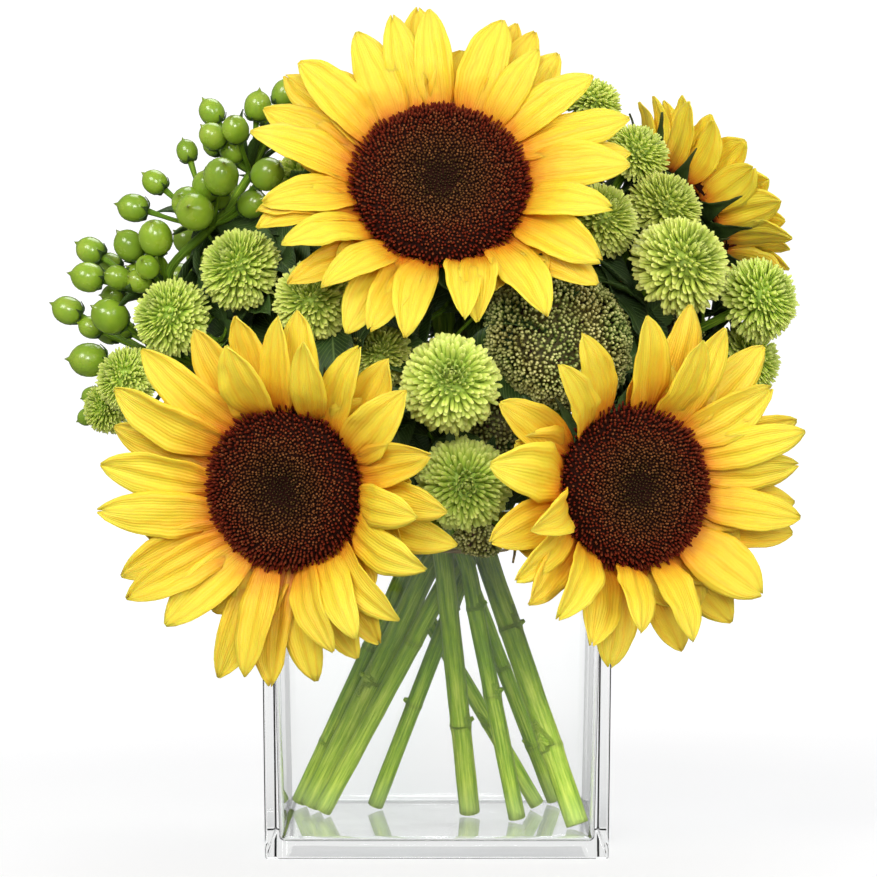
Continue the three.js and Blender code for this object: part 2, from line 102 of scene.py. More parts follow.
# Each ray petal as read in its enlarged view, which photo_point turns into the photo's pixels:
# across and down to the tip, across and down to the root, the width, and 1 for the front row
# or 0 for the back row.
PETALS_SEEN = {
    "top_sunflower": [
        (735, 35, 775, 425, 150, 1), (683, 32, 720, 430, 130, 0), (585, 55, 665, 445, 140, 1),
        (452, 118, 590, 470, 165, 1), (210, 250, 500, 540, 165, 1), (155, 303, 470, 560, 165, 0),
        (70, 440, 440, 610, 165, 0), (25, 515, 425, 680, 175, 1), (88, 780, 420, 760, 160, 1),
        (55, 820, 430, 800, 150, 0), (50, 885, 440, 850, 150, 1), (165, 948, 470, 925, 130, 1),
        (172, 1110, 540, 985, 140, 0), (325, 1100, 585, 1000, 130, 1),
        (405, 1325, 625, 1030, 175, 1), (490, 1300, 660, 1045, 150, 0),
        (640, 1325, 725, 1045, 150, 1), (872, 1242, 850, 1040, 130, 1),
        (915, 1262, 925, 1030, 130, 1), (1197, 1242, 1010, 975, 190, 1),
        (1395, 1130, 1090, 940, 160, 0), (1410, 1025, 1095, 870, 170, 1),
        (1445, 810, 1120, 800, 165, 1), (1530, 655, 1135, 690, 170, 1),
        (1530, 600, 1135, 640, 150, 0), (1530, 477, 1120, 570, 165, 1),
        (1378, 297, 1075, 510, 165, 1), (1250, 210, 1040, 470, 150, 0),
        (1145, 122, 990, 450, 150, 0), (1032, 78, 905, 425, 170, 1), (1080, 98, 950, 440, 150, 0),
    ],
    "left_sunflower": [
        (755, 55, 770, 425, 135, 1), (845, 32, 850, 425, 140, 0), (865, 165, 915, 455, 130, 1),
        (1088, 178, 1000, 490, 140, 1), (1215, 235, 1050, 530, 160, 0),
        (1253, 372, 1070, 600, 175, 1), (1388, 615, 1095, 680, 160, 0),
        (1440, 845, 1105, 760, 150, 0), (1310, 872, 1110, 800, 150, 1),
        (1485, 985, 1105, 850, 160, 0), (1332, 1080, 1095, 900, 160, 1),
        (1222, 1280, 1040, 990, 150, 1), (1165, 1380, 1010, 1020, 160, 0),
        (1055, 1340, 975, 1035, 120, 1), (1085, 1440, 930, 1060, 150, 0),
        (958, 1400, 880, 1070, 145, 1), (915, 1532, 850, 1080, 150, 0),
        (740, 1555, 795, 1085, 130, 0), (625, 1515, 735, 1060, 140, 1),
        (520, 1520, 690, 1050, 140, 0), (308, 1305, 640, 1010, 165, 1),
        (145, 1197, 585, 960, 160, 1), (125, 1102, 560, 930, 150, 0), (28, 828, 515, 860, 175, 1),
        (42, 650, 495, 740, 185, 1), (100, 500, 515, 640, 175, 0), (98, 345, 545, 560, 160, 1),
        (212, 180, 600, 500, 155, 1), (425, 100, 650, 470, 160, 0), (548, 180, 710, 440, 165, 1),
        (600, 40, 735, 430, 130, 0),
    ],
    "right_sunflower": [
        (668, 90, 655, 455, 190, 1), (850, 40, 740, 470, 150, 0), (905, 195, 740, 475, 140, 1),
        (982, 130, 800, 500, 140, 1), (1150, 210, 830, 530, 175, 0),
        (1185, 380, 860, 560, 180, 1), (1297, 520, 880, 620, 160, 0),
        (1325, 565, 890, 650, 150, 1), (1298, 705, 905, 720, 150, 1),
        (1290, 850, 900, 800, 150, 0), (1305, 920, 895, 850, 150, 1),
        (1265, 985, 880, 900, 140, 0), (1146, 1235, 820, 1000, 210, 1),
        (990, 1345, 770, 1060, 160, 0), (862, 1420, 715, 1100, 140, 1),
        (783, 1465, 640, 1125, 150, 0), (520, 1535, 540, 1120, 190, 0),
        (650, 1375, 580, 1130, 150, 1), (445, 1440, 470, 1090, 150, 0),
        (340, 1315, 410, 1050, 160, 1), (200, 1268, 370, 1010, 150, 0),
        (122, 1180, 340, 960, 140, 1), (25, 1022, 315, 890, 170, 0), (240, 970, 320, 850, 100, 1),
        (65, 700, 310, 760, 220, 1), (62, 450, 340, 660, 170, 0), (350, 300, 400, 560, 150, 1),
        (432, 175, 480, 500, 160, 1),
    ],
}

# Petals that are half hidden in the photo, placed one by one: the turn of the root and of the tip
# in degrees, how far the tip is from the flower's axis and how far in front of the disc's
# base, the width, and the row.
PETALS_PLACED = {
    "top_sunflower": [(37, 36, 61, 14, 11, 1), (320, 318, 62, 4, 14, 0)],
}
REAR_PETALS = 14  # in each of its two rows
REAR_PETAL_LENGTH = 25
REAR_LEAN = (38, 50)  # back row and front row, in degrees

# Each button mum: middle, radius, a point its twig passes, how olive it is, how open it is.
MUMS = {
    "mum_stem_left": {
        "button_mum_01": ((-73, -48, 216), 15.2, (-34, -34, 178), 0.10, 0.2),
        "button_mum_02": ((-99, -42, 198), 14.5, (-48, -36, 166), 0.05, 0.3),
        "button_mum_03": ((-116, -37, 175), 12, (-56, -36, 158), 0.10, 0.3),
        "button_mum_04": ((-125, -16, 164), 10, (-60, -26, 154), 0.15, 0.3),
        "button_mum_05": ((-45, -68, 204), 15, None, 0.35, 0.3),
        "button_mum_06": ((-21, -66, 184), 12.3, None, 0.60, 0.2),
        "button_mum_07": ((5, -98, 174), 17.2, None, 0.25, 0.5),
        "button_mum_08": ((10, -84, 137), 16.5, (-6, -52, 142), 0.10, 1.0),
        "button_mum_16": ((-52, 26, 252), 14, (-26, -6, 190), 0.20, 0.4),
        "button_mum_17": ((-62, 66, 214), 15, (-30, 14, 176), 0.10, 0.4),
    },
    "mum_stem_right": {
        "button_mum_09": ((61, -45, 234), 14, None, 0.50, 0.3),
        "button_mum_10": ((76, -10, 260), 12.6, None, 0.35, 0.3),
        "button_mum_11": ((86, -22, 239), 14.6, None, 0.55, 0.2),
        "button_mum_12": ((90, -58, 217), 18, None, 0.45, 0.3),
        "button_mum_13": ((121, -30, 205), 15.6, None, 0.15, 0.4),
        "button_mum_14": ((119, -5, 182), 13.7, None, 0.30, 0.4),
        "button_mum_15": ((60, 12, 281), 11.5, None, 0.30, 0.3),
        "button_mum_18": ((30, 86, 204), 15, None, 0.15, 0.5),
        "button_mum_19": ((66, 80, 178), 15, None, 0.10, 0.4),
    },
}
MUM_TWIG, MUM_BACK = 1.7, 0.7

# Each bud head of trachelium: middle, radius, a point its twig passes, the way it faces.
UMBELS = {
    "trachelium_01": ((44, -62, 190), 29, None, None),
    "trachelium_02": ((25, -60, 158), 14, None, None),
    "trachelium_03": ((15, -73, 117), 10, (16, -44, 136), (0, -0.5, -0.87)),
    "trachelium_04": ((-16, 72, 212), 30, (2, 20, 172), None),
    "trachelium_05": ((6, 22, 260), 30, None, None),
    "trachelium_06": ((99, 58, 184), 20, (66, 16, 160), None),
    "trachelium_07": ((-36, -8, 238), 20, (-6, -22, 178), None),
}
UMBEL_TWIG, UMBEL_BACK = 1.5, 0.95

# Hypericum: the forks of each branch, with the middle and radius of the berries on each.
BERRIES = {
    "hypericum_left": [
        ((-92, -8, 180), [(-140, -8, 200.5, 5.3), (-131, -20, 181.6, 6.4), (-131, -10, 194, 4.2),
                          (-122, -30, 198, 6.5), (-132, 2, 168, 3.4), (-133, -4, 160, 3.4)]),
        ((-100, -16, 206), [(-131, -10, 223, 5.1), (-131, -22, 212.6, 5.6),
                            (-115, -25, 224.5, 5.6), (-107, -38, 216, 4.4), (-111, -30, 211, 4.5),
                            (-122, -14, 206, 4.1), (-119, -30, 212.4, 4.5), (-104, -38, 227, 6.3)]),
        ((-84, -20, 232), [(-89, -45, 236, 7), (-79, -48, 249, 6.6), (-85, -38, 246, 5.5),
                           (-114, -20, 238.6, 5.3), (-106, -18, 248.4, 4.5), (-94, -15, 260.3, 4),
                           (-62, -45, 250, 5.9)]),
        ((-70, -12, 252), [(-85, -12, 275.2, 4.7), (-84, -22, 265.4, 4.9), (-75, -28, 267.6, 5),
                           (-67, -20, 276.8, 5.1), (-57, -15, 282, 4.9)]),
    ],
    "hypericum_back": [
        ((-52, 52, 178), [(-92, 56, 196, 6), (-98, 46, 184, 5.6), (-84, 66, 184, 6.2),
                          (-94, 58, 172, 5), (-104, 34, 196, 5.2)]),
        ((-62, 44, 206), [(-92, 44, 222, 6.4), (-100, 30, 214, 5.4), (-84, 50, 234, 5.6),
                          (-96, 20, 228, 5.8), (-82, 30, 246, 6), (-72, 48, 244, 5)]),
    ],
}
BRANCH, PEDICEL = 1.7, 0.9

# Leaves: where each springs from its stem, which way it grows, its length and width.
LEAVES = {
    "hypericum_leaf_01": ((-92, -8, 180), (0.1, 0.9, 0), 34, 15),
    "hypericum_leaf_02": ((-100, -16, 206), (0.4, 0.9, 0), 30, 14),
    "hypericum_leaf_03": ((-84, -20, 232), (0.8, -0.6, -0.3), 32, 14),
    "hypericum_leaf_04": ((-52, 52, 178), (-0.2, 0.9, -0.3), 36, 16),
    "hypericum_leaf_05": ((-62, 44, 206), (0.8, -0.2, 0.5), 34, 15),
    "mum_leaf_01": ((-34, -34, 178), (0.5, 0.5, 0.6), 46, 24),
    "mum_leaf_02": ((-60, -26, 154), (-0.1, 0.7, -0.5), 46, 24),
    "mum_leaf_03": ((-6, -36, 150), (-0.5, 0.7, -0.4), 40, 22),
    "mum_leaf_04": ((28, 8, 158), (-0.6, -0.1, 0.6), 46, 24),
    "mum_leaf_05": ((5, 20, 128), (0.5, 0.85, 0.1), 44, 24),
}

# ---- Making meshes ---------------------------------------------------------------------------


def metres(point):
    return Vector(point) * MM


def smooth_path(points, steps):
    """Points on a smooth curve through the given ones, with this many steps to each stretch."""
    ends = [points[0] * 2 - points[1], *points, points[-1] * 2 - points[-2]]
    path = []
    for a, b, c, d in zip(ends, ends[1:], ends[2:], ends[3:]):
        at_b = math.sqrt((b - a).length)
        at_c = at_b + math.sqrt((c - b).length)
        at_d = at_c + math.sqrt((d - c).length)
        for step in range(steps):
            at = at_b + (at_c - at_b) * step / steps
            ab = a.lerp(b, at / at_b)
            bc = b.lerp(c, (at - at_b) / (at_c - at_b))
            cd = c.lerp(d, (at - at_c) / (at_d - at_c))
            abc = ab.lerp(bc, at / at_c)
            bcd = bc.lerp(cd, (at - at_b) / (at_d - at_b))
            path.append(abc.lerp(bcd, (at - at_b) / (at_c - at_b)))
    return [*path, points[-1]]


def looking(at, look):
    """The place of something at a point whose own +Z looks along a direction, +Y up."""
    z = Vector(look).normalized()
    y = UP - z * z.z
    y = y.normalized() if y.length > 0.01 else Vector((0, 1, 0))
    turn = Matrix((y.cross(z), y, z)).transposed()
    return Matrix.Translation(at) @ turn.to_4x4()


def outward(at):
    """The way a head looks: away from the middle of the dome, a little to the front before it."""
    look = (Vector(at) - DOME_CENTRE).normalized()
    if at[1] < 0:
        look.y -= 0.35
    return look.normalized()


def as_mesh(bm, name="part"):
    made = bpy.data.meshes.new(name)
    bm.to_mesh(made)
    bm.free()
    return made


def gather(into, made, place=None):
    """Adds a small mesh to a bigger one, at its place, and drops it."""
    if place is not None:
        made.transform(place)
    into.from_mesh(made)
    bpy.data.meshes.remove(made)


def scatter(into, made, copies):
    """Adds many copies of a small mesh: each is a place and the values of its attributes."""
    count = len(made.vertices)
    rest = [0.0] * (3 * count)
    made.vertices.foreach_get("co", rest)
    for place, values in copies:
        made.transform(place)
        for key, value in values.items():
            made.attributes[key].data.foreach_set("value", [value] * count)
        into.from_mesh(made)
        made.vertices.foreach_set("co", rest)
    bpy.data.meshes.remove(made)


def between(stops, at):
    """The value at a place among (place, value) stops."""
    for (low, first), (high, second) in zip(stops, stops[1:]):
        if at <= high:
            return first + (second - first) * (at - low) / (high - low)
    return stops[-1][1]


def face_outwards(bm):
    bmesh.ops.recalc_face_normals(bm, faces=bm.faces[:])
    if bm.calc_volume(signed=True) < 0:
        bmesh.ops.reverse_faces(bm, faces=bm.faces[:])


def spun(profile, segments, values=()):
    """A closed body turned about +Z from a profile of (radius, height) points."""
    bm = bmesh.new()
    layers = {key: bm.verts.layers.float.new(key) for key in values}
    line = [bm.verts.new((radius, 0, height)) for radius, height in profile]
    edges = [bm.edges.new(pair) for pair in zip(line, line[1:])]
    bmesh.ops.spin(bm, geom=line + edges, cent=(0, 0, 0), axis=(0, 0, 1), dvec=(0, 0, 0),
                   angle=2 * math.pi, steps=segments, use_merge=True, use_duplicate=False)
    bmesh.ops.remove_doubles(bm, verts=bm.verts[:], dist=1e-7)
    face_outwards(bm)
    for vert in bm.verts:
        for key, layer in layers.items():
            vert[layer] = values[key]
    return as_mesh(bm)


def slim(around, rings, widths, flatness, channel, lift, values):
    """A slim closed body of length 1 along +Y with its inner face towards +Z. The width runs
    through (distance, half width) stops, and its "reach" from 0 at the root to 1 at the tip."""
    bm = bmesh.new()
    reach = bm.verts.layers.float.new("reach")
    for key in values:
        bm.verts.layers.float.new(key)
    bmesh.ops.create_uvsphere(bm, u_segments=around, v_segments=rings, radius=1)
    for vert in bm.verts:
        along = (vert.co.z + 1) / 2
        rim = max(math.hypot(vert.co.x, vert.co.y), 1e-6)
        side, face = vert.co.x / rim, -vert.co.y / rim
        width = between(widths, along) if rim > 0.01 else 0
        height = flatness * face * width + channel * side * side * width
        vert.co = (side * width, along, height + lift * along * along)
        vert[reach] = along
    return as_mesh(bm)


# Half widths along a ray petal, a leaf and a bract, from the root to the tip.
PETAL_OUTLINE = [(0, 0.50), (0.08, 0.64), (0.2, 0.84), (0.34, 0.97), (0.45, 1.0), (0.6, 0.95),
                 (0.72, 0.85), (0.82, 0.69), (0.9, 0.49), (0.96, 0.29), (1, 0.08)]
LEAF_OUTLINE = [(0, 0.06), (0.08, 0.16), (0.2, 0.58), (0.34, 0.92), (0.48, 1.0), (0.64, 0.84),
                (0.8, 0.52), (0.92, 0.22), (1, 0.03)]
BRACT_OUTLINE = [(0, 0.8), (0.15, 1.0), (0.35, 0.84), (0.5, 0.56), (0.66, 0.32), (0.82, 0.16),
                 (1, 0.02)]


def blade(rng, length, width, outline, *, bow=0.0, curl=0.0, channel=0.0, twist=0.0, sway=0.0,
          ripple=0.0, notch=0.0, shade=0.0, pleat=0.035, across=8, along=16):
    """A thin blade from its root at the origin to its tip on +Y, with its face towards +Z.
    Its map "blade" runs across and along it."""
    bm = bmesh.new()
    bm.loops.layers.uv.new("blade")
    tone = bm.verts.layers.float.new("shade")
    bmesh.ops.create_grid(bm, x_segments=across, y_segments=along, size=0.5, calc_uvs=True)
    seed = Vector((rng.uniform(0, 90), rng.uniform(0, 90), rng.uniform(0, 90)))
    fuller, phase = rng.uniform(0.88, 1.12), rng.uniform(-1.5, 1.5)
    for vert in bm.verts:
        side, rise = vert.co.x * 2, vert.co.y + 0.5
        arch = math.sin(math.pi * rise)
        half = width / 2 * between(outline, rise) * (fuller if side > 0 else 2 - fuller)
        half *= 1 + 0.07 * noise.noise(seed + Vector((0, rise * 7, side)))
        wave = noise.noise(seed + Vector((side * 1.3, rise * 3.1, 0)))
        edge = noise.noise(seed + Vector((side, rise * 6.5, 4))) * abs(side) ** 1.5
        x = side * half
        z = channel * half * side * side * min(1, 3 * rise)
        z += pleat * half * math.cos(side * 7.5 + phase) * arch
        turn = twist * (rise - 0.2)
        x, z = x * math.cos(turn) - z * math.sin(turn), x * math.sin(turn) + z * math.cos(turn)
        x += sway * length * arch
        z += length * (bow * arch + curl * max(0, rise - 0.5) ** 2 * 4)
        z += ripple * length * (0.6 * wave + 0.7 * edge) * min(1, 2.5 * rise)
        y = length * (rise - notch * math.exp(-((side / 0.4) ** 2)) * rise**8)
        vert.co = (x, y, z)
        vert[tone] = shade
    return as_mesh(bm)


def follow_stalks(bm, routes):
    """Gives each vertex its place round and along its stalk, and how close a knot is."""
    keys = ("round_x", "round_y", "along", "knot")
    layers = [bm.verts.layers.float.new(key) for key in keys]
    stops = []
    for number, route in enumerate(routes):
        run, aside = number * 0.37, None
        for index, (at, _, *knot) in enumerate(route):
            before = route[max(index - 1, 0)][0]
            ahead = (route[min(index + 1, len(route) - 1)][0] - before).normalized()
            aside = ahead.orthogonal() if aside is None else aside - ahead * aside.dot(ahead)
            aside.normalize()
            run += (at - before).length
            stops.append((at, aside.copy(), ahead.cross(aside), run, knot[0] if knot else 0.0))
    places = kdtree.KDTree(len(stops))
    for index, stop in enumerate(stops):
        places.insert(stop[0], index)
    places.balance()
    for vert in bm.verts:
        at, aside, across, run, knot = stops[places.find(vert.co)[1]]
        out = (vert.co - at).normalized()
        for layer, value in zip(layers, (out.dot(aside), out.dot(across), run, knot)):
            vert[layer] = value


def stalk_mesh(routes, resolution=3):
    """Round stalks as one mesh. Each route is a list of (point, radius) in metres, and a third
    value near a knot. Attributes follow each stalk round and along, for the bark's streaks."""
    drawn = bpy.data.curves.new("route", "CURVE")
    drawn.dimensions = "3D"
    drawn.bevel_depth = 1.0
    drawn.bevel_resolution = resolution
    drawn.use_fill_caps = True
    for route in routes:
        spline = drawn.splines.new("POLY")
        spline.points.add(len(route) - 1)
        for stop, (at, radius, *_) in zip(spline.points, route):
            stop.co = (*at, 1)
            stop.radius = radius
    holder = bpy.data.objects.new("route", drawn)
    bpy.context.scene.collection.objects.link(holder)
    graph = bpy.context.evaluated_depsgraph_get()
    bm = bmesh.new()
    bm.from_mesh(holder.evaluated_get(graph).to_mesh())
    bpy.data.objects.remove(holder)
    bpy.data.curves.remove(drawn)
    follow_stalks(bm, routes)
    bmesh.ops.remove_doubles(bm, verts=bm.verts[:], dist=1e-6)
    face_outwards(bm)
    return as_mesh(bm)


def piece(name, made, finish, stands_for=(), cut=None):
    """A finished piece from a mesh, or from a bmesh that is still open. A face with more than
    four corners is a cut end, which stays flat and may have a finish of its own."""
    if isinstance(made, bmesh.types.BMesh):
        made = as_mesh(made, name)
    made.name = name
    made.materials.append(finish)
    if cut is not None:
        made.materials.append(cut)
    for face in made.polygons:
        flat_end = len(face.vertices) > 4
        face.use_smooth = not flat_end
        face.material_index = 1 if cut is not None and flat_end else 0
    whole = bpy.data.objects.new(name, made)
    bpy.context.scene.collection.objects.link(whole)
    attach(whole, "root")
    if stands_for:
        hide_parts(*stands_for)
    return whole


def thicken(whole, thickness):
    """Gives the thin blades of a piece their thickness, in millimetres."""
    sheet = whole.modifiers.new("thickness", "SOLIDIFY")
    sheet.thickness = thickness * MM
    sheet.offset = 0


# ---- Materials -------------------------------------------------------------------------------


def colour(code):
    """A web colour as Blender's linear one."""
    parts = [int(code[i : i + 2], 16) / 255 for i in (1, 3, 5)]
    return [((c + 0.055) / 1.055) ** 2.4 if c > 0.04045 else c / 12.92 for c in parts] + [1.0]


def add(tree, kind, inputs=(), **settings):
    """A node with its settings, and its inputs set to values or linked to other sockets."""
    node = tree.nodes.new("ShaderNode" + kind)
    for key, value in settings.items():
        setattr(node, key, value)
    for key, value in dict(inputs).items():
        if isinstance(value, bpy.types.NodeSocket):
            tree.links.new(value, node.inputs[key])
        else:
            node.inputs[key].default_value = value
    return node


def ramp(tree, factor, *stops):
    """Colours along a factor, from (place, web colour) stops."""
    node = add(tree, "ValToRGB", {"Fac": factor})
    marks = node.color_ramp.elements
    marks[0].position, marks[0].color = stops[0][0], colour(stops[0][1])
    marks[-1].position, marks[-1].color = stops[-1][0], colour(stops[-1][1])
    for place, code in stops[1:-1]:
        marks.new(place).color = colour(code)
    return node.outputs["Color"]


def blend(tree, factor, first, second, how="MIX"):
    """One colour laid over another. The second may be a web colour."""
    if isinstance(second, str):
        second = colour(second)
    node = add(tree, "Mix", {0: factor, 6: first, 7: second}, data_type="RGBA", blend_type=how)
    return node.outputs[2]


def maths(tree, how, first, second=0.0, clamp=False):
    node = add(tree, "Math", {0: first, 1: second}, operation=how, use_clamp=clamp)
    return node.outputs[0]


def plus(tree, first, second):
    return maths(tree, "ADD", first, second)


def minus(tree, first, second, clamp=False):
    return maths(tree, "SUBTRACT", first, second, clamp)


def times(tree, first, second):
    return maths(tree, "MULTIPLY", first, second)


def power(tree, first, second):
    return maths(tree, "POWER", first, second)


def remap(tree, value, first, last, low=0.0, high=1.0):
    """Turns a value between low and high into one between first and last."""
    inputs = {0: value, 1: low, 2: high, 3: first, 4: last}
    return add(tree, "MapRange", inputs).outputs[0]


def own_place(tree):
    """The piece's own coordinates, which are metres."""
    return add(tree, "TexCoord").outputs["Object"]


def speckle(tree, scale, detail=2.0, vector=None, rough=0.5):
    """Noise in the piece's own coordinates, or in others that are given."""
    inputs = {"Vector": vector or own_place(tree), "Scale": scale, "Detail": detail,
              "Roughness": rough}
    return add(tree, "TexNoise", inputs).outputs["Fac"]


def stretched(tree, scale):
    """The piece's own coordinates, squeezed or stretched along X, Y and Z."""
    return add(tree, "Mapping", {"Vector": own_place(tree), "Scale": scale}).outputs["Vector"]


def split(tree, vector):
    return add(tree, "SeparateXYZ", {0: vector}).outputs


def blade_map(tree):
    """How far across and how far along its blade a point is, each from 0 to 1."""
    parts = split(tree, add(tree, "UVMap", uv_map="blade").outputs["UV"])
    return parts["X"], parts["Y"]


def attribute(tree, name):
    return add(tree, "Attribute", attribute_name=name).outputs["Fac"]


def waves(tree, along, crests, wobble):
    """Soft waves between 0 and 1, as many as the crests say, shifted by a wobble."""
    wave = maths(tree, "SINE", plus(tree, times(tree, along, crests), wobble))
    return times(tree, plus(tree, wave, 1.0), 0.5)


def finish(name, **settings):
    """A new material, its node tree and its Principled shader with these values."""
    made = bpy.data.materials.new(name)
    made.use_nodes = True
    shader = made.node_tree.nodes["Principled BSDF"]
    for key, value in settings.items():
        shader.inputs[key.replace("_", " ")].default_value = value
    return made, made.node_tree, shader


def dress(tree, shader, body, grain, roughness, height, distance, strength=1.0):
    """Gives a shader its colour, a roughness that follows a grain, and bumps of a height."""
    tree.links.new(body, shader.inputs["Base Color"])
    if roughness is not None:
        tree.links.new(remap(tree, grain, *roughness), shader.inputs["Roughness"])
    bumps = add(tree, "Bump", {"Height": height, "Distance": distance, "Strength": strength})
    tree.links.new(bumps.outputs["Normal"], shader.inputs["Normal"])


def petal_yellow():
    """Golden at the root and lemon at the tip, with fine veins and a few wider folds."""
    made, tree, shader = finish("petal_yellow", Specular_IOR_Level=0.3, Subsurface_Weight=0.4,
                                Subsurface_Radius=(1.0, 0.6, 0.1), Subsurface_Scale=0.0015)
    side, rise = blade_map(tree)
    drift = times(tree, minus(tree, speckle(tree, 260.0), 0.5), 0.16)
    place = plus(tree, rise, drift)
    # The red-brown at the very root is partly the petal's own orange base, partly painted shadow of
    # the disc.
    lemon = ramp(tree, place, (0.0, "#8E2E0A"), (0.05, "#C65412"), (0.13, "#E88E1A"),
                 (0.25, "#EEB828"), (0.42, "#F0D236"), (1.0, "#EFDC4A"))
    golden = ramp(tree, place, (0.0, "#842806"), (0.09, "#B04A0E"), (0.21, "#D67A16"),
                  (0.4, "#E8A626"), (0.62, "#EBC030"), (1.0, "#EECE42"))
    # Back-row and filler petals lean golden and front-row ones lemon: painted shade on the rows
    # behind.
    body = blend(tree, attribute(tree, "shade"), golden, lemon)
    wobble = times(tree, speckle(tree, 90.0), 5.0)
    veins = waves(tree, side, 95.0, wobble)
    folds = waves(tree, side, 21.0, wobble)
    # Golden streaks along the folds: painted shade in the pleats.
    body = blend(tree, times(tree, power(tree, folds, 5.0), 0.34), body, "#E59A14")
    body = blend(tree, times(tree, veins, 0.10), body, "#EFA91A")
    height = plus(tree, times(tree, veins, 0.35), folds)
    dress(tree, shader, body, veins, (0.46, 0.62), height, 0.00035, 0.8)
    return made


def disc_brown():
    """Dark brown, greener in the middle; painted shade at floret roots, painted highlight on some
    tips.
    """
    made, tree, shader = finish("disc_brown", Roughness=0.85, Specular_IOR_Level=0.1)
    ring, reach = attribute(tree, "ring"), attribute(tree, "reach")
    low = ramp(tree, ring, (0.0, "#100E07"), (0.35, "#20100A"), (0.7, "#260A05"), (1.0, "#320C05"))
    high = ramp(tree, ring, (0.0, "#2E2A13"), (0.25, "#443013"), (0.5, "#623718"),
                (0.72, "#6A2711"), (1.0, "#701C0D"))
    # Near-black towards each floret's root: painted shade between the florets.
    body = blend(tree, power(tree, reach, 1.6), low, high)
    # Pale tips on a random few florets: painted highlights.
    lit = times(tree, attribute(tree, "tone"), power(tree, reach, 4.0))
    body = blend(tree, lit, body, "#8E5C34")
    dress(tree, shader, body, None, None, speckle(tree, 2600.0), 0.0002, 0.6)
    return made


def calyx_green():
    made, tree, shader = finish("calyx_green", Specular_IOR_Level=0.3)
    _, rise = blade_map(tree)
    patches = speckle(tree, 160.0, 4.0)
    body = ramp(tree, patches, (0.3, "#263A14"), (0.55, "#38511C"), (0.75, "#4E6A28"))
    body = blend(tree, times(tree, power(tree, rise, 3.0), 0.7), body, "#3A3018")
    hairs = speckle(tree, 2400.0, 3.0)
    dress(tree, shader, body, hairs, (0.55, 0.85), hairs, 0.0003)
    return made


def stalk_green(name, pale, middle, deep, ridges):
    """Fresh stem: lengthwise streaks and ridges, a dark ring at each knot and a paler foot."""
    made, tree, shader = finish(name, Specular_IOR_Level=0.18)
    where = add(tree, "CombineXYZ", {
        "X": attribute(tree, "round_x"), "Y": attribute(tree, "round_y"),
        "Z": times(tree, attribute(tree, "along"), 14.0)}).outputs[0]
    streaks = speckle(tree, 3.4, 5.0, where, 0.62)
    fine = speckle(tree, 9.0, 3.0, where, 0.6)
    blotches = speckle(tree, 60.0, 3.0)
    height = split(tree, own_place(tree))["Z"]
    climb = remap(tree, height, -0.1, 0.08, 0.03, 0.13)
    factor = plus(tree, times(tree, streaks, 1.5), climb)
    factor = plus(tree, factor, times(tree, fine, 0.5))
    factor = plus(tree, factor, times(tree, blotches, 0.3))
    factor = minus(tree, factor, 0.6)
    body = ramp(tree, factor, (0.2, pale), (0.5, middle), (0.85, deep))
    body = blend(tree, remap(tree, height, 0.45, 0.0, 0.007, 0.02), body, "#C2D08C")
    body = blend(tree, times(tree, attribute(tree, "knot"), 0.35), body, "#5A6420")
    grooves = plus(tree, streaks, times(tree, fine, 0.4))
    dress(tree, shader, body, streaks, (0.34, 0.58), grooves, ridges)
    return made


def cut_end():
    """The pale cut face at a stem's foot."""
    made, tree, shader = finish("cut_end", Specular_IOR_Level=0.4)
    grain = speckle(tree, 900.0, 3.0)
    body = ramp(tree, grain, (0.3, "#B9C98A"), (0.6, "#DDE3B4"), (0.8, "#F1F1D2"))
    dress(tree, shader, body, grain, (0.4, 0.7), grain, 0.0004)
    return made


def mum_lime():
    """Lime or olive florets, rusty round an olive head; painted shade at their roots and in the
    heart.
    """
    made, tree, shader = finish("mum_lime", Specular_IOR_Level=0.3, Subsurface_Weight=0.12,
                                Subsurface_Radius=(0.7, 1.0, 0.2), Subsurface_Scale=0.0012)
    reach, tone, ring = (attribute(tree, key) for key in ("reach", "tone", "ring"))
    # From dark roots to pale tips: painted shade between the florets.
    lime = ramp(tree, reach, (0.0, "#8CB23E"), (0.3, "#BCD856"), (0.65, "#D2E666"),
                (1.0, "#E8F288"))
    olive = ramp(tree, reach, (0.0, "#727E2E"), (0.35, "#A8AE4A"), (0.7, "#C8CA5C"),
                 (1.0, "#E0DE80"))
    body = blend(tree, tone, lime, olive)
    rusty = times(tree, tone, power(tree, ring, 5.0))
    body = blend(tree, times(tree, rusty, 0.7), body, "#7A6238")
    # Darker in the heart: painted shade in its dimple.
    heart = minus(tree, 1.0, times(tree, ring, 7.0), True)
    body = blend(tree, times(tree, heart, 0.5), body, "#4E6E20")
    patches = speckle(tree, 220.0, 3.0)
    body = blend(tree, times(tree, patches, 0.2), body, "#D8E89C", "MULTIPLY")
    fibre = speckle(tree, 1500.0)
    dress(tree, shader, body, fibre, (0.4, 0.6), fibre, 0.00015, 0.7)
    return made


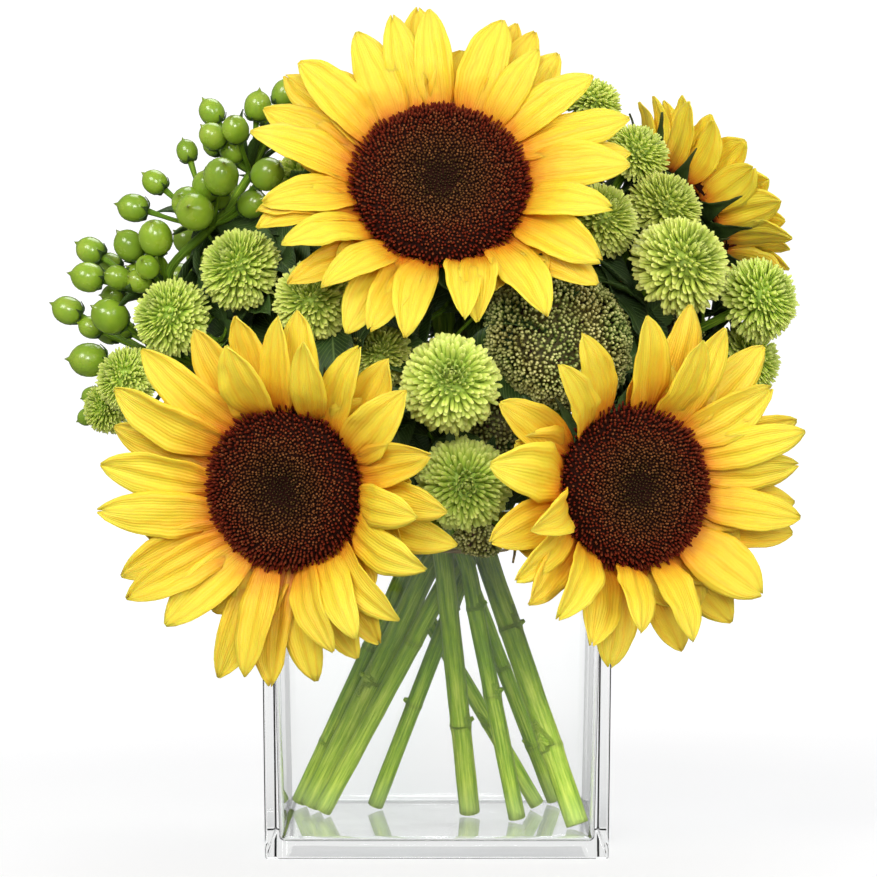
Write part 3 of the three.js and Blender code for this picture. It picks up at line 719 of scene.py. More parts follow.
def bud_green():
    """Green buds, brown in places; painted shade low down and deep in the clumps; creamy tips."""
    made, tree, shader = finish("bud_green", Specular_IOR_Level=0.35)
    reach, tone = attribute(tree, "reach"), attribute(tree, "tone")
    # Darker towards each bud's root, and darker still (the deep ramp) for buds deep in the clumps:
    # painted shade.
    body = ramp(tree, reach, (0.0, "#262E0F"), (0.45, "#526824"), (0.8, "#849840"),
                (1.0, "#B2BA5C"))
    deep = ramp(tree, reach, (0.0, "#1E200C"), (0.5, "#3C4C1C"), (0.85, "#5C6E28"),
                (1.0, "#80903A"))
    body = blend(tree, tone, body, deep)
    body = blend(tree, times(tree, attribute(tree, "ring"), 0.6), body, "#8A7438")
    # A creamy tip on the buds that stand out: partly their own colour, partly a painted highlight.
    tips = times(tree, power(tree, reach, 8.0), minus(tree, 1.0, tone))
    body = blend(tree, tips, body, "#F4ECA6")
    grain = speckle(tree, 1800.0)
    dress(tree, shader, body, grain, (0.4, 0.65), grain, 0.0002, 0.6)
    return made


def twig_purple():
    made, tree, shader = finish("twig_purple", Specular_IOR_Level=0.3)
    streaks = speckle(tree, 600.0, 3.0)
    body = ramp(tree, streaks, (0.3, "#2A1A18"), (0.55, "#4B2E2C"), (0.8, "#5F5A32"))
    dress(tree, shader, body, streaks, (0.5, 0.75), streaks, 0.0003)
    return made


def berry_green():
    """Glossy green skin, paler round the base and dark at the very tip."""
    made, tree, shader = finish("berry_green", Specular_IOR_Level=0.55, Coat_Weight=0.35,
                                Coat_Roughness=0.12, Subsurface_Weight=0.15,
                                Subsurface_Radius=(0.5, 1.0, 0.2), Subsurface_Scale=0.002)
    reach, tone = attribute(tree, "reach"), attribute(tree, "tone")
    patches = speckle(tree, 130.0, 3.0)
    body = ramp(tree, patches, (0.3, "#7C9E22"), (0.55, "#96B42E"), (0.8, "#B8C84A"))
    body = blend(tree, tone, body, "#6C8A20")
    body = blend(tree, power(tree, reach, 12.0), body, "#40300F")
    body = blend(tree, times(tree, minus(tree, 1.0, reach), 0.4), body, "#8CB03C")
    dress(tree, shader, body, patches, (0.18, 0.34), speckle(tree, 700.0), 0.0001, 0.4)
    return made


def leaf_green():
    """Dark green with a paler midrib and slanting side veins."""
    made, tree, shader = finish("leaf_green", Specular_IOR_Level=0.4)
    side, rise = blade_map(tree)
    off = maths(tree, "ABSOLUTE", minus(tree, side, 0.5))
    midrib = minus(tree, 1.0, times(tree, off, 26.0), True)
    slant = minus(tree, times(tree, rise, 46.0), times(tree, off, 34.0))
    sides = power(tree, maths(tree, "ABSOLUTE", maths(tree, "SINE", slant)), 14.0)
    veins = maths(tree, "MAXIMUM", midrib, times(tree, sides, 0.55))
    patches = speckle(tree, 120.0, 4.0)
    body = ramp(tree, patches, (0.3, "#16290D"), (0.55, "#264016"), (0.8, "#3C5C22"))
    body = blend(tree, attribute(tree, "shade"), body, "#55752E")
    body = blend(tree, times(tree, veins, 0.5), body, "#86A05A")
    dress(tree, shader, body, patches, (0.38, 0.6), minus(tree, patches, veins), 0.0003)
    return made


def raffia():
    made, tree, shader = finish("raffia", Specular_IOR_Level=0.2)
    fibres = speckle(tree, 900.0, 4.0, stretched(tree, (0.3, 0.3, 2.5)), 0.7)
    body = ramp(tree, fibres, (0.3, "#7B6433"), (0.55, "#B49A5E"), (0.8, "#DCC894"))
    dress(tree, shader, body, fibres, (0.7, 0.95), fibres, 0.0006)
    return made


def clear_glass():
    """Polished glass with the faint ripple of a pressed vase. Lamps shine through it."""
    made, tree, shader = finish("clear_glass", Transmission_Weight=1.0, IOR=1.47,
                                Specular_IOR_Level=0.5)
    streaks = speckle(tree, 14.0, 2.0, stretched(tree, (1, 1, 0.25)))
    body = ramp(tree, streaks, (0.3, "#FBFDFC"), (0.7, "#FFFFFF"))
    dress(tree, shader, body, streaks, (0.0, 0.012), streaks, 0.0006, 0.25)
    through = add(tree, "BsdfTransparent", {"Color": (0.93, 0.95, 0.95, 1)})
    lamp = add(tree, "LightPath").outputs["Is Shadow Ray"]
    both = add(tree, "MixShader", {0: lamp, 1: shader.outputs[0], 2: through.outputs[0]})
    tree.links.new(both.outputs[0], tree.nodes["Material Output"].inputs["Surface"])
    return made


PETAL, DISC, CALYX = petal_yellow(), disc_brown(), calyx_green()
SUNFLOWER_STALK = stalk_green("sunflower_stalk", "#C4D456", "#90B22C", "#5C861C", 0.0009)
TWIG_GREEN = stalk_green("twig_green", "#BACE4E", "#80A628", "#4C761A", 0.0005)
CUT_END, MUM, BUD, TWIG_PURPLE = cut_end(), mum_lime(), bud_green(), twig_purple()
BERRY, LEAF, RAFFIA, GLASS = berry_green(), leaf_green(), raffia(), clear_glass()

# ---- Vase ------------------------------------------------------------------------------------

FLAT_GLASS = 0.0012  # square metres: wider faces of the vase are quite flat
HAIR = 1e-5  # metres: heights this close are the same

# How far each edge of the glass is rounded, in millimetres, and in how many steps.
INNER_CORNER, OUTER_CORNER, BOTTOM_EDGE = (2.2, 6), (1.0, 3), (0.9, 3)
INNER_FLOOR_EDGE, RIM_EDGE = (2.0, 5), (1.2, 4)


def edges_where(bm, test):
    return [edge for edge in bm.edges if test(*(vert.co for vert in edge.verts))]


def rounded(bm, edges, radius, segments):
    bmesh.ops.bevel(bm, geom=edges, offset=radius * MM, segments=segments, affect="EDGES",
                    profile=0.5, material=-1, clamp_overlap=True)


def glass_vase():
    bm = bmesh.new()
    bmesh.ops.create_cube(bm, size=1)
    for vert in bm.verts:
        width = VASE_TOP if vert.co.z > 0 else VASE_BOTTOM
        vert.co = metres((vert.co.x * width, vert.co.y * width, (vert.co.z + 0.5) * VASE_HEIGHT))
    top = max(bm.faces, key=lambda face: face.calc_center_median().z)
    bmesh.ops.inset_region(bm, faces=[top], thickness=WALL_AT_RIM * MM, use_even_offset=True)
    top = max((f for f in bm.faces if f.normal.z > 0.9), key=lambda face: face.calc_area())
    sunk = bmesh.ops.extrude_discrete_faces(bm, faces=[top])["faces"][0]
    narrower = (VASE_BOTTOM - 2 * WALL_AT_FLOOR) / (VASE_TOP - 2 * WALL_AT_RIM)
    for vert in sunk.verts:
        vert.co = (vert.co.x * narrower, vert.co.y * narrower, VASE_FLOOR * MM)
    half = VASE_HEIGHT * MM / 2
    inside = edges_where(bm, lambda a, b: abs(a.z - b.z) > half and min(a.z, b.z) > HAIR)
    rounded(bm, inside, *INNER_CORNER)
    outside = edges_where(bm, lambda a, b: abs(a.z - b.z) > half and min(a.z, b.z) < HAIR)
    rounded(bm, outside, *OUTER_CORNER)
    rounded(bm, edges_where(bm, lambda a, b: max(a.z, b.z) < HAIR), *BOTTOM_EDGE)
    inner = edges_where(bm, lambda a, b: max(abs(a.z - VASE_FLOOR * MM), abs(b.z - a.z)) < HAIR)
    rounded(bm, inner, *INNER_FLOOR_EDGE)
    rim = edges_where(bm, lambda a, b: min(a.z, b.z) > VASE_HEIGHT * MM - HAIR)
    rounded(bm, [edge for edge in rim if abs(edge.calc_face_angle(0)) > 0.5], *RIM_EDGE)
    face_outwards(bm)
    vase = piece("glass_cube_vase", bm, GLASS, ["vase"])
    for face in vase.data.polygons:
        face.use_smooth = face.area < FLAT_GLASS


glass_vase()

# ---- Stems -----------------------------------------------------------------------------------

TWIG_ROUTES = []  # every stem and twig drawn so far, for the leaves they carry
KNOT_HALF, KNOT_SWELL, KNOT_RIDGE = 1.2, 0.07, 0.06  # half height, and what it adds to the width
STUB_LENGTH = 1.3  # what is left of a cut-off leaf


def stem_points(name):
    """The points a stem runs through: straight from its cut foot to the waist, then on."""
    radius, foot, waist, above, _ = STEMS[name]
    top = Vector((*waist, WAIST))
    bottom = Vector((*foot, VASE_FLOOR + FIT))
    direction = (top - bottom).normalized()
    bottom.z += radius * math.sqrt(1 - direction.z**2)
    points = [bottom, bottom.lerp(top, 0.35), bottom.lerp(top, 0.75), top, *map(Vector, above)]
    return [point * MM for point in points]


def stem_route(name, more=(), flare=0.0):
    """A stem's path with its knots, flaring into its head."""
    radius, *_, knots = STEMS[name]
    path = smooth_path([*stem_points(name), *more], 9)
    route = []
    for index, at in enumerate(path):
        height = at.z / MM
        width = 1 + 0.05 * noise.noise(at * 90)
        for knot in knots:
            width += KNOT_SWELL * math.exp(-(((height - knot) / KNOT_HALF) ** 2))
        width += flare * max(0, 1 - (len(path) - 1 - index) / 7) ** 2
        route.append((at, radius * MM * width))
    TWIG_ROUTES.append(with_knots(route, knots))
    return TWIG_ROUTES[-1]


def knot_scars(name, route):
    """The stub of a cut-off leaf at each knot of a stem."""
    rng = random.Random(name + "scars")
    scars = []
    for knot in STEMS[name][-1]:
        at, radius, *_ = min(route, key=lambda stop: abs(stop[0].z - knot * MM))
        out = Vector((rng.choice((-1, 1)), rng.uniform(-0.6, 0.2), 0.55)).normalized()
        tip = at + out * (radius + STUB_LENGTH * MM)
        scars.append([(at, 1.3 * MM), (at.lerp(tip, 0.75), 1.15 * MM), (tip, 0.7 * MM)])
    return scars


def with_knots(route, knots):
    """More points close to each knot, so that it shows as a ring."""
    finer = []
    for (a, ra), (b, rb) in zip(route, route[1:]):
        finer.append((a, ra))
        for knot in knots:
            for step in (-2, -0.7, 0, 0.7, 2):
                height = (knot + step) * MM
                if a.z < height < b.z:
                    share = (height - a.z) / (b.z - a.z)
                    near = math.exp(-((step / 0.9) ** 2))
                    width = (ra + (rb - ra) * share) * (1 + KNOT_RIDGE * near)
                    finer.append((a.lerp(b, share), width, near))
    finer.append(route[-1])
    return [finer[0], *sorted(finer[1:], key=lambda stop: route_order(route, stop[0]))]


def route_order(route, at):
    """How far along a route a point lies, for sorting."""
    nearest = min(range(len(route)), key=lambda i: (route[i][0] - at).length)
    ahead = route[min(nearest + 1, len(route) - 1)][0] - route[max(nearest - 1, 0)][0]
    return nearest + (at - route[nearest][0]).dot(ahead) / max(ahead.length_squared, 1e-12)


def neck(at, look, depth):
    """The last points of a twig that runs up to the back of a head."""
    return [metres(at) - look * (depth + 8) * MM, metres(at) - look * depth * MM]


def twig_route(points, radius, swell=0.0):
    """A twig's path, which may swell into the head that it carries."""
    path = smooth_path(points, 7)
    last = len(path) - 1
    TWIG_ROUTES.append([(at, radius * MM * (1 + swell * max(0, 1 - (last - i) / 4) ** 2))
                        for i, at in enumerate(path)])
    return TWIG_ROUTES[-1]


def leaf_place(root, along):
    """The place of a leaf that grows along a direction, with its face away from the bunch."""
    along = Vector(along).normalized()
    across = along.cross(root - DOME_CENTRE * MM).normalized()
    turn = Matrix((across, along, across.cross(along))).transposed()
    return Matrix.Translation(root) @ turn.to_4x4()


# ---- Sunflowers ------------------------------------------------------------------------------

CALYX_BOTTOM = -17.6
RING_LEVEL = -1.2  # height of the petals' roots on the head
ROW_LEVELS = (-2.4, 0.0, 0.8)  # above that, for the filler, back and front row
STEEP_PETAL = 17  # a tip further in front than this belongs to a petal that folds in
FLORET_COUNT = 2.2  # times the square of the disc's radius in millimetres
PETAL_THICKNESS, BRACT_THICKNESS = 0.35, 0.5
FRONT_BRACTS, REAR_BRACTS = 0.72, 1.1  # the longest bract, in disc radii
FRONT_FRINGE, REAR_FRINGE = 0.95, 0.0  # how far the florets at the disc's rim lean out
ROOT_INSET = 0.5  # from the disc's rim to the petals' roots, as they are read
SIGHT_SEARCH, SIGHT_STEP = (-60, 30), 0.5  # where a tip is looked for on its line of sight
LEAN_SLACK, LENGTH_SLACK = 10, 2.5  # degrees and millimetres that weigh the same


def photo_point(name, x, y):
    """A point of a flower's enlarged view in the photo's own pixels, which are 877 each way."""
    (left, top), enlarged = PETAL_VIEWS[name][:2]
    return left + x / enlarged, top + y / enlarged


def line_of_sight(name, x, y):
    """The camera's place and the way to a point of a flower's view, in the flower's frame."""
    x, y = photo_point(name, x, y)
    across, down = x - PHOTO_SIZE / 2, y - PHOTO_SIZE / 2
    distance = CAMERA_LENS / SENSOR_WIDTH * PHOTO_SIZE
    tilt = Matrix.Rotation(math.radians(90 - CAMERA_PITCH), 3, "X")
    at, look, _ = SUNFLOWERS[name]
    own = looking(Vector(at), look).inverted()
    way = own.to_3x3() @ tilt @ Vector((across, -down, -distance))
    return own @ Vector(CAMERA_AT), way.normalized()


def petal_seen(name, tip_x, tip_y, root_x, root_y, width, row):
    """A petal's turns, reach, rise, width and row, from where the photo shows it. The tip may
    be anywhere on its line of sight, so it is put where the petal comes closest to its row's
    usual length and lean. Angles are kept to whole degrees, and sizes to 0.1 mm."""
    *_, per_mm, length, (front_lean, back_lean) = PETAL_VIEWS[name]
    lean = front_lean if row else back_lean
    length += 0 if row else BACK_PETALS_LONGER
    eye, way = line_of_sight(name, root_x, root_y)
    root = eye - way * (eye.z / way.z)
    root.length = SUNFLOWERS[name][2] - ROOT_INSET
    eye, way = line_of_sight(name, tip_x, tip_y)
    nearest, farthest = SIGHT_SEARCH
    tips = [eye + way * (nearest - eye.z / way.z + step * SIGHT_STEP)
            for step in range(int((farthest - nearest) / SIGHT_STEP))]

    def strain(tip):
        petal = tip - root
        tilt = math.degrees(math.asin(petal.z / petal.length))
        return ((tilt - lean) / LEAN_SLACK) ** 2 + ((petal.length - length) / LENGTH_SLACK) ** 2

    tip = min(tips, key=strain)
    turns = [round(math.degrees(math.atan2(at.x, at.y))) % 360 for at in (root, tip)]
    reach, rise = round(math.hypot(tip.x, tip.y), 1), max(0, round(tip.z, 1))
    return (*turns, reach, rise, max(round(width / per_mm, 1), NARROWEST_PETAL[row]), row)


def petals_of(name):
    """The petals of a flower in their order round it."""
    seen = [petal_seen(name, *reading) for reading in PETALS_SEEN[name]]
    return sorted(seen + PETALS_PLACED.get(name, []), key=lambda petal: petal[1])


def disc_height(share):
    """Height of the seed disc's surface, from its centre at 0 to its rim at 1, in millimetres."""
    return between([(0, 5.6), (0.18, 6.4), (0.42, 8.0), (0.7, 8.3), (0.86, 7.2), (0.95, 4.6),
                    (1, 1.5)], share)


def seed_disc(name, place, radius, rim_lean):
    """A disc closely set with florets, longer and leaning outwards at the rim."""
    rng = random.Random(name + "disc")
    bm = bmesh.new()
    profile = [(radius * share, disc_height(share) - 1.2) for share in
               (0, 0.1, 0.2, 0.35, 0.5, 0.65, 0.8, 0.9, 0.96)]
    profile += [(radius * 0.97, 0.4), (radius * 0.6, 0), (0, 0)]
    base = spun([(r * MM, z * MM) for r, z in profile], 36,
                {"reach": 0.1, "ring": 0.6, "tone": 0.0})
    gather(bm, base)
    count = int(FLORET_COUNT * radius * radius)
    copies = []
    for index in range(count):
        share = math.sqrt((index + 0.5) / count)
        turn = index * GOLDEN_TURN + rng.uniform(-0.012, 0.012) / max(share, 0.1)
        out = Vector((math.cos(turn), math.sin(turn), 0))
        fringe = max(0, share - 0.74) / 0.26
        lean = 0.1 * share + rim_lean * fringe + rng.uniform(-0.2, 0.2) * (0.4 + share)
        grown = (1.7 + 0.4 * share + 2.0 * fringe) * rng.uniform(0.75, 1.2)
        width = 0.34 if share < 0.2 else 0.44 + 0.06 * share
        ahead = (UP + out * math.tan(lean)).normalized()
        side = ahead.cross(out)
        side = side.normalized() if side.length > 0.1 else Vector((1, 0, 0))
        spot = out * radius * (share * 0.965 + rng.uniform(-0.008, 0.008)) * MM
        spot.z = (disc_height(share) - 1.7 + rng.uniform(-0.25, 0.25)) * MM
        turn_to = Matrix((side * width * MM, ahead * grown * MM,
                          side.cross(ahead) * width * MM)).transposed()
        # How much painted highlight each floret's tip gets: a random few, fewer at the rim.
        tone = rng.random() ** 3 * (1 - 0.7 * fringe) if share > 0.2 else 0.15 * rng.random()
        copies.append((Matrix.Translation(spot) @ turn_to.to_4x4(), {"ring": share, "tone": tone}))
    floret = slim(5, 4, [(0, 0.6), (0.55, 0.95), (0.85, 0.9), (1, 0.2)], 1.0, 0.0, 0.0,
                  ("tone", "ring"))
    scatter(bm, floret, copies)
    bm.transform(place)
    piece(name + "_seed_florets", bm, DISC, [name + "_disc"])


def petal_place(root_turn, tip_turn, root, level, reach, rise, roll):
    """The place of a petal in its flower's frame, and its length."""
    start = Vector((math.sin(root_turn) * root, math.cos(root_turn) * root, level))
    tip = Vector((math.sin(tip_turn) * reach, math.cos(tip_turn) * reach, rise))
    along = (tip - start).normalized()
    face = (UP - along * along.z).normalized()
    face = Matrix.Rotation(roll, 3, along) @ face
    turn = Matrix((along.cross(face), along, face)).transposed()
    return Matrix.Translation(start) @ turn.to_4x4(), (tip - start).length


def between_petals(rng, petals):
    """Shorter petals behind the others, which close the gaps between them low down."""
    order = sorted(petals, key=lambda petal: petal[1] % 360)
    added = []
    for first, second in zip(order, order[1:] + order[:1]):
        gap = (second[1] - first[1]) % 360
        turn = first[1] + gap / 2 + rng.uniform(-2, 2)
        reach = min(first[2], second[2]) * rng.uniform(0.76, 0.84)
        rise = (first[3] + second[3]) * 0.22
        if first[3] + second[3] > 32:
            continue
        added.append((turn, turn, reach, rise, 14 + 0.25 * min(gap, 20), -1))
    return added


def ray_petals(name, place, disc, petals, seen_from_behind):
    """The ring of petals: the filler row, the back row and the front row."""
    rng = random.Random(name + "petals")
    bm = bmesh.new()
    fillers = [] if seen_from_behind else between_petals(rng, petals)
    # All the petals of the flower seen from behind are kept lemon: painted light shining through
    # them from behind.
    painted_backlight = 0.9 if seen_from_behind else 0.0
    for root_turn, tip_turn, reach, rise, width, row in petals + fillers:
        level = RING_LEVEL + ROW_LEVELS[row + 1] + rng.uniform(-0.3, 0.3)
        roll = rng.uniform(-0.2, 0.2)
        spot, length = petal_place(math.radians(root_turn), math.radians(tip_turn),
                                   (disc - 2.5) * MM, level * MM, reach * MM, rise * MM, roll)
        steep = rise > STEEP_PETAL
        # Front-row petals take a lemon shade, back-row and filler ones a golden one: painted shade
        # on the rows behind.
        made = blade(rng, length, width * MM * rng.uniform(1.05, 1.2), PETAL_OUTLINE,
                     bow=rng.uniform(0.02, 0.07) + (0.03 if row > 0 else 0),
                     curl=rng.uniform(-0.08, 0.03) - (0.05 if steep else 0),
                     channel=rng.uniform(-0.1, 0.35), twist=rng.uniform(-0.35, 0.35),
                     sway=rng.uniform(-0.035, 0.035), ripple=0.055,
                     notch=rng.choice((0, 0, 0, 0.045)), pleat=rng.uniform(0.05, 0.09),
                     shade=max(painted_backlight, rng.uniform(*((0.6, 1.0) if row > 0 else (0.05, 0.6)))),
                     across=10)
        gather(bm, made, spot)
    bm.transform(place)
    whole = piece(name + "_ray_petals", bm, PETAL, [name + "_petals"])
    thicken(whole, PETAL_THICKNESS)


def rear_petals(rng, disc):
    """Two rows of petals for the flower whose face the photo doesn't show."""
    petals = []
    for row, lean in enumerate(REAR_LEAN):
        for index in range(REAR_PETALS):
            turn = (index + 0.5 * row) * 360 / REAR_PETALS + rng.uniform(-5, 5)
            length = (REAR_PETAL_LENGTH + 1.5) * rng.uniform(0.93, 1.05)
            angle = math.radians(lean + rng.uniform(-5, 5))
            reach = disc - 1.5 + length * math.cos(angle)
            tip = turn + rng.uniform(-4, 4)
            petals.append((turn, tip, reach, length * math.sin(angle), rng.uniform(13, 15.5), row))
    return petals


def calyx_leaves(name, place, disc, stem_radius, longest):
    """The green cup behind a head, with three rows of pointed bracts."""
    rng = random.Random(name + "calyx")
    bm = bmesh.new()
    cup = [(0, CALYX_BOTTOM), (stem_radius + 1.2, CALYX_BOTTOM),
           (stem_radius + 3, CALYX_BOTTOM + 2), (disc * 0.5, CALYX_BOTTOM + 4.6),
           (disc * 0.78, -8.5), (disc * 0.92, -5), (disc * 0.95, -2.6), (0, -2.6)]
    gather(bm, spun([(r * MM, z * MM) for r, z in cup], 32, {"shade": 0.3}))
    for row, (many, radius, level, lean, length) in enumerate([
            (13, 0.86, -5.0, 20, 0.95), (12, 0.78, -8.0, 30, 0.8), (9, 0.6, -11.5, 20, 0.55)]):
        for index in range(many):
            turn = (index + 0.5 * (row % 2)) * 2 * math.pi / many + rng.uniform(-0.09, 0.09)
            size = disc * length * longest * rng.uniform(0.9, 1.15)
            angle = math.radians(lean + rng.uniform(-12, 10)) * (1 if row == 0 else -0.3)
            root = disc * radius
            spot, long = petal_place(turn, turn + rng.uniform(-0.1, 0.1), root * MM, level * MM,
                                     (root + size * math.cos(angle)) * MM,
                                     (level + size * math.sin(angle)) * MM, math.pi)
            made = blade(rng, long, rng.uniform(7.5, 10) * MM, BRACT_OUTLINE, bow=0.07,
                         curl=rng.uniform(-0.14, 0.14), channel=0.3, ripple=0.05,
                         twist=rng.uniform(-0.2, 0.2), shade=0.5, across=4, along=10)
            gather(bm, made, spot)
    bm.transform(place)
    whole = piece(name + "_calyx_leaves", bm, CALYX, [name + "_calyx"])
    thicken(whole, BRACT_THICKNESS)


for name, (at, look, disc) in SUNFLOWERS.items():
    look = Vector(look).normalized()
    place = looking(metres(at), look)
    rear = name not in PETALS_SEEN
    petals = rear_petals(random.Random("rear"), disc) if rear else petals_of(name)
    seed_disc(name, place, disc, REAR_FRINGE if rear else FRONT_FRINGE)
    ray_petals(name, place, disc, petals, rear)
    calyx_leaves(name, place, disc, STEMS[name][0], REAR_BRACTS if rear else FRONT_BRACTS)
    route = stem_route(name, neck(at, look, -CALYX_BOTTOM + FIT), 0.35)
    piece(name + "_stalk", stalk_mesh([route, *knot_scars(name, route)], 5), SUNFLOWER_STALK,
          [name + "_stem"], cut=CUT_END)

# ---- Button mums -----------------------------------------------------------------------------

FLORETS = 500
WIDEST = math.radians(122)  # how far round the head its florets reach


def mum_head(name, at, radius, olive, opening):
    """A ball of florets that curl in over its heart and spread where it is open."""
    rng = random.Random(name)
    bm = bmesh.new()
    core = [(0, -0.70), (0.13, -0.70), (0.30, -0.62), (0.50, -0.42), (0.60, -0.2), (0.62, 0.05),
            (0.53, 0.28), (0.36, 0.42), (0.15, 0.38), (0, 0.28)]
    gather(bm, spun([(r * radius * MM, z * radius * MM) for r, z in core], 16,
                    {"reach": 0.2, "tone": olive, "ring": 0.5}))
    copies = []
    for index in range(FLORETS):
        share = (index + 0.5) / FLORETS
        polar = WIDEST * share**0.58
        turn = index * GOLDEN_TURN + rng.uniform(-0.1, 0.1)
        out = Vector((math.cos(turn), math.sin(turn), 0))
        heart = math.exp(-((polar / 0.40) ** 2))
        height = 0.56 - 0.22 * heart
        start = (UP * math.cos(polar) + out * math.sin(polar)) * radius * height
        start.z -= 0.06 * radius
        lean = polar + 0.46 - 1.15 * heart - 0.22 * share + opening * 0.2 * share
        lean += rng.uniform(-0.2, 0.2)
        bent = Matrix.Rotation(turn + rng.uniform(-0.22, 0.22), 3, "Z") @ Vector((1, 0, 0))
        along = UP * math.cos(lean) + bent * math.sin(lean)
        face = (UP * math.sin(lean) - bent * math.cos(lean)).normalized()
        long = radius * (0.34 + 0.18 * share + 0.10 * opening * share**3) * rng.uniform(0.84, 1.12)
        wide = radius * (0.039 + 0.024 * min(1, 2 * share)) * rng.uniform(0.85, 1.15)
        turn_to = Matrix((along.cross(face) * wide * MM, along * long * MM, face * wide * MM))
        spot = Matrix.Translation(start * MM) @ turn_to.transposed().to_4x4()
        tone = min(1, max(0, olive + rng.uniform(-0.15, 0.15)))
        copies.append((spot, {"tone": tone, "ring": share}))
    floret = slim(6, 5, [(0, 0.7), (0.3, 0.95), (0.7, 1.1), (0.9, 0.85), (1, 0.2)], 0.42, 0.5, 1.9,
                  ("tone", "ring"))
    scatter(bm, floret, copies)
    bm.transform(looking(metres(at), outward(at)))
    piece(name + "_florets", bm, MUM, [name])


for stem, heads in MUMS.items():
    routes = [stem_route(stem)]
    routes += knot_scars(stem, routes[0])
    fork = stem_points(stem)[-1]
    for name, (at, radius, via, olive, opening) in heads.items():
        mum_head(name, at, radius, olive, opening)
        ends = neck(at, outward(at), MUM_BACK * radius + FIT)
        middle = [metres(via)] if via else []
        routes.append(twig_route([fork, *middle, *ends], MUM_TWIG, 0.9))
    piece(stem + "_stalk", stalk_mesh(routes, 4), TWIG_GREEN, [stem], cut=CUT_END)

# ---- Trachelium ------------------------------------------------------------------------------

BUD_COUNT = 4.0  # times the square of the head's radius in millimetres
BUDS_WIDEST, RAYS_WIDEST = math.radians(120), math.radians(100)  # how far round they reach
CLUMP_SIZE, BUDS_SUNK = 7.5, 2.4  # and how deep the gaps between the clumps are
RAY_RADIUS = 0.55


def dome(radius, polar):
    """A point on a bud head's surface and its normal, in millimetres, polar from the top."""
    flat = 0.56 if polar < math.pi / 2 else 0.5
    at = Vector((radius * math.sin(polar), 0, flat * radius * math.cos(polar)))
    return at, Vector((math.sin(polar) * flat, 0, math.cos(polar))).normalized()


def bud_head(name, at, radius, look):
    """A dome of buds in clumps. Returns the routes of the fine stalks that carry it."""
    rng = random.Random(name)
    bm = bmesh.new()
    under = [(0, -0.60), (0.1, -0.58), (0.5, -0.4), (0.68, -0.22), (0.76, -0.04), (0.68, 0.14),
             (0.44, 0.27), (0, 0.33)]
    # The core under the buds takes the deepest green: painted shade.
    gather(bm, spun([(r * radius * MM, z * radius * MM) for r, z in under], 28,
                    {"reach": 0.35, "tone": 1.0, "ring": 0.6}))
    count = int(BUD_COUNT * radius * radius)
    copies = []
    for index in range(count):
        share = (index + 0.5) / count
        polar = BUDS_WIDEST * share**0.56
        turn = index * GOLDEN_TURN
        spot, normal = dome(radius, polar)
        around = Matrix.Rotation(turn, 3, "Z")
        spot, normal = around @ spot, around @ normal
        cell = noise.voronoi(spot / CLUMP_SIZE + Vector((radius, 0, 3)))[0][0]
        sink = BUDS_SUNK * cell**2 + rng.uniform(0, 1.0)
        spot -= normal * (sink + 1.5)
        ahead = (normal + Vector([rng.gauss(0, 0.28) for _ in range(3)])).normalized()
        side = ahead.orthogonal().normalized()
        size = rng.uniform(0.6, 0.92)
        long = rng.uniform(2.0, 3.0)
        turn_to = Matrix((side * size * MM, ahead * long * MM, side.cross(ahead) * size * MM))
        # How deep a bud sits, with some chance: this sets its painted shade.
        tone = min(1, max(0, 0.8 * sink / BUDS_SUNK + rng.uniform(-0.45, 0.35)))
        brown = min(1, max(0, 0.45 + 1.3 * noise.noise(spot / 13 + Vector((0, radius, 0)))))
        copies.append((Matrix.Translation(spot * MM) @ turn_to.transposed().to_4x4(),
                       {"tone": tone, "ring": brown}))
    bud = slim(5, 4, [(0, 0.25), (0.4, 0.75), (0.75, 1.05), (1, 0.35)], 1.0, 0.0, 0.0,
               ("tone", "ring"))
    scatter(bm, bud, copies)
    place = looking(metres(at), look)
    bm.transform(place)
    rays = []
    for index in range(int(radius * 1.6)):
        polar = RAYS_WIDEST * math.sqrt((index + 0.5) / (radius * 1.6))
        spot, normal = dome(radius, polar)
        spot = Matrix.Rotation(index * GOLDEN_TURN, 3, "Z") @ (spot * 0.88)
        base = Vector((0, 0, -UMBEL_BACK * radius))
        bend = base.lerp(spot, 0.5) + Vector((spot.x, spot.y, 0)) * 0.18
        path = smooth_path([place @ (p * MM) for p in (base, bend, spot)], 4)
        rays.append([(p, RAY_RADIUS * MM) for p in path])
    piece(name + "_buds", bm, BUD, [name])
    return rays


stem_ends = [stem_route("trachelium_stem")]
stem_ends += knot_scars("trachelium_stem", stem_ends[0])
fork = stem_points("trachelium_stem")[-1]
rays = []
for name, (at, radius, via, facing) in UMBELS.items():
    look = Vector(facing).normalized() if facing else outward(at)
    rays += bud_head(name, at, radius, look)
    ends = neck(at, look, UMBEL_BACK * radius + FIT)
    middle = [metres(via)] if via else []
    rays.append(twig_route([fork, *middle, *ends], UMBEL_TWIG, 0.3))
piece("trachelium_main_stalk", stalk_mesh(stem_ends, 4), TWIG_GREEN,
      ["trachelium_stem"], cut=CUT_END)
piece("trachelium_twigs", stalk_mesh(rays, 1), TWIG_PURPLE)

# ---- Hypericum -------------------------------------------------------------------------------

# A berry's outline in its own radii: how far out and how far up from its base.
BERRY_PROFILE = [(0, 0), (0.36, 0.02), (0.66, 0.14), (0.90, 0.42), (1.0, 0.80), (1.0, 1.14),
                 (0.94, 1.46), (0.80, 1.74), (0.60, 1.95), (0.37, 2.10), (0.16, 2.20),
                 (0.07, 2.36), (0, 2.5)]
BERRY_HEIGHT = BERRY_PROFILE[-1][1]
LEAVES_PER_FORK, SEPALS = 7, 5
SEPAL_THICKNESS, SMALL_LEAF_THICKNESS = 0.3, 0.35


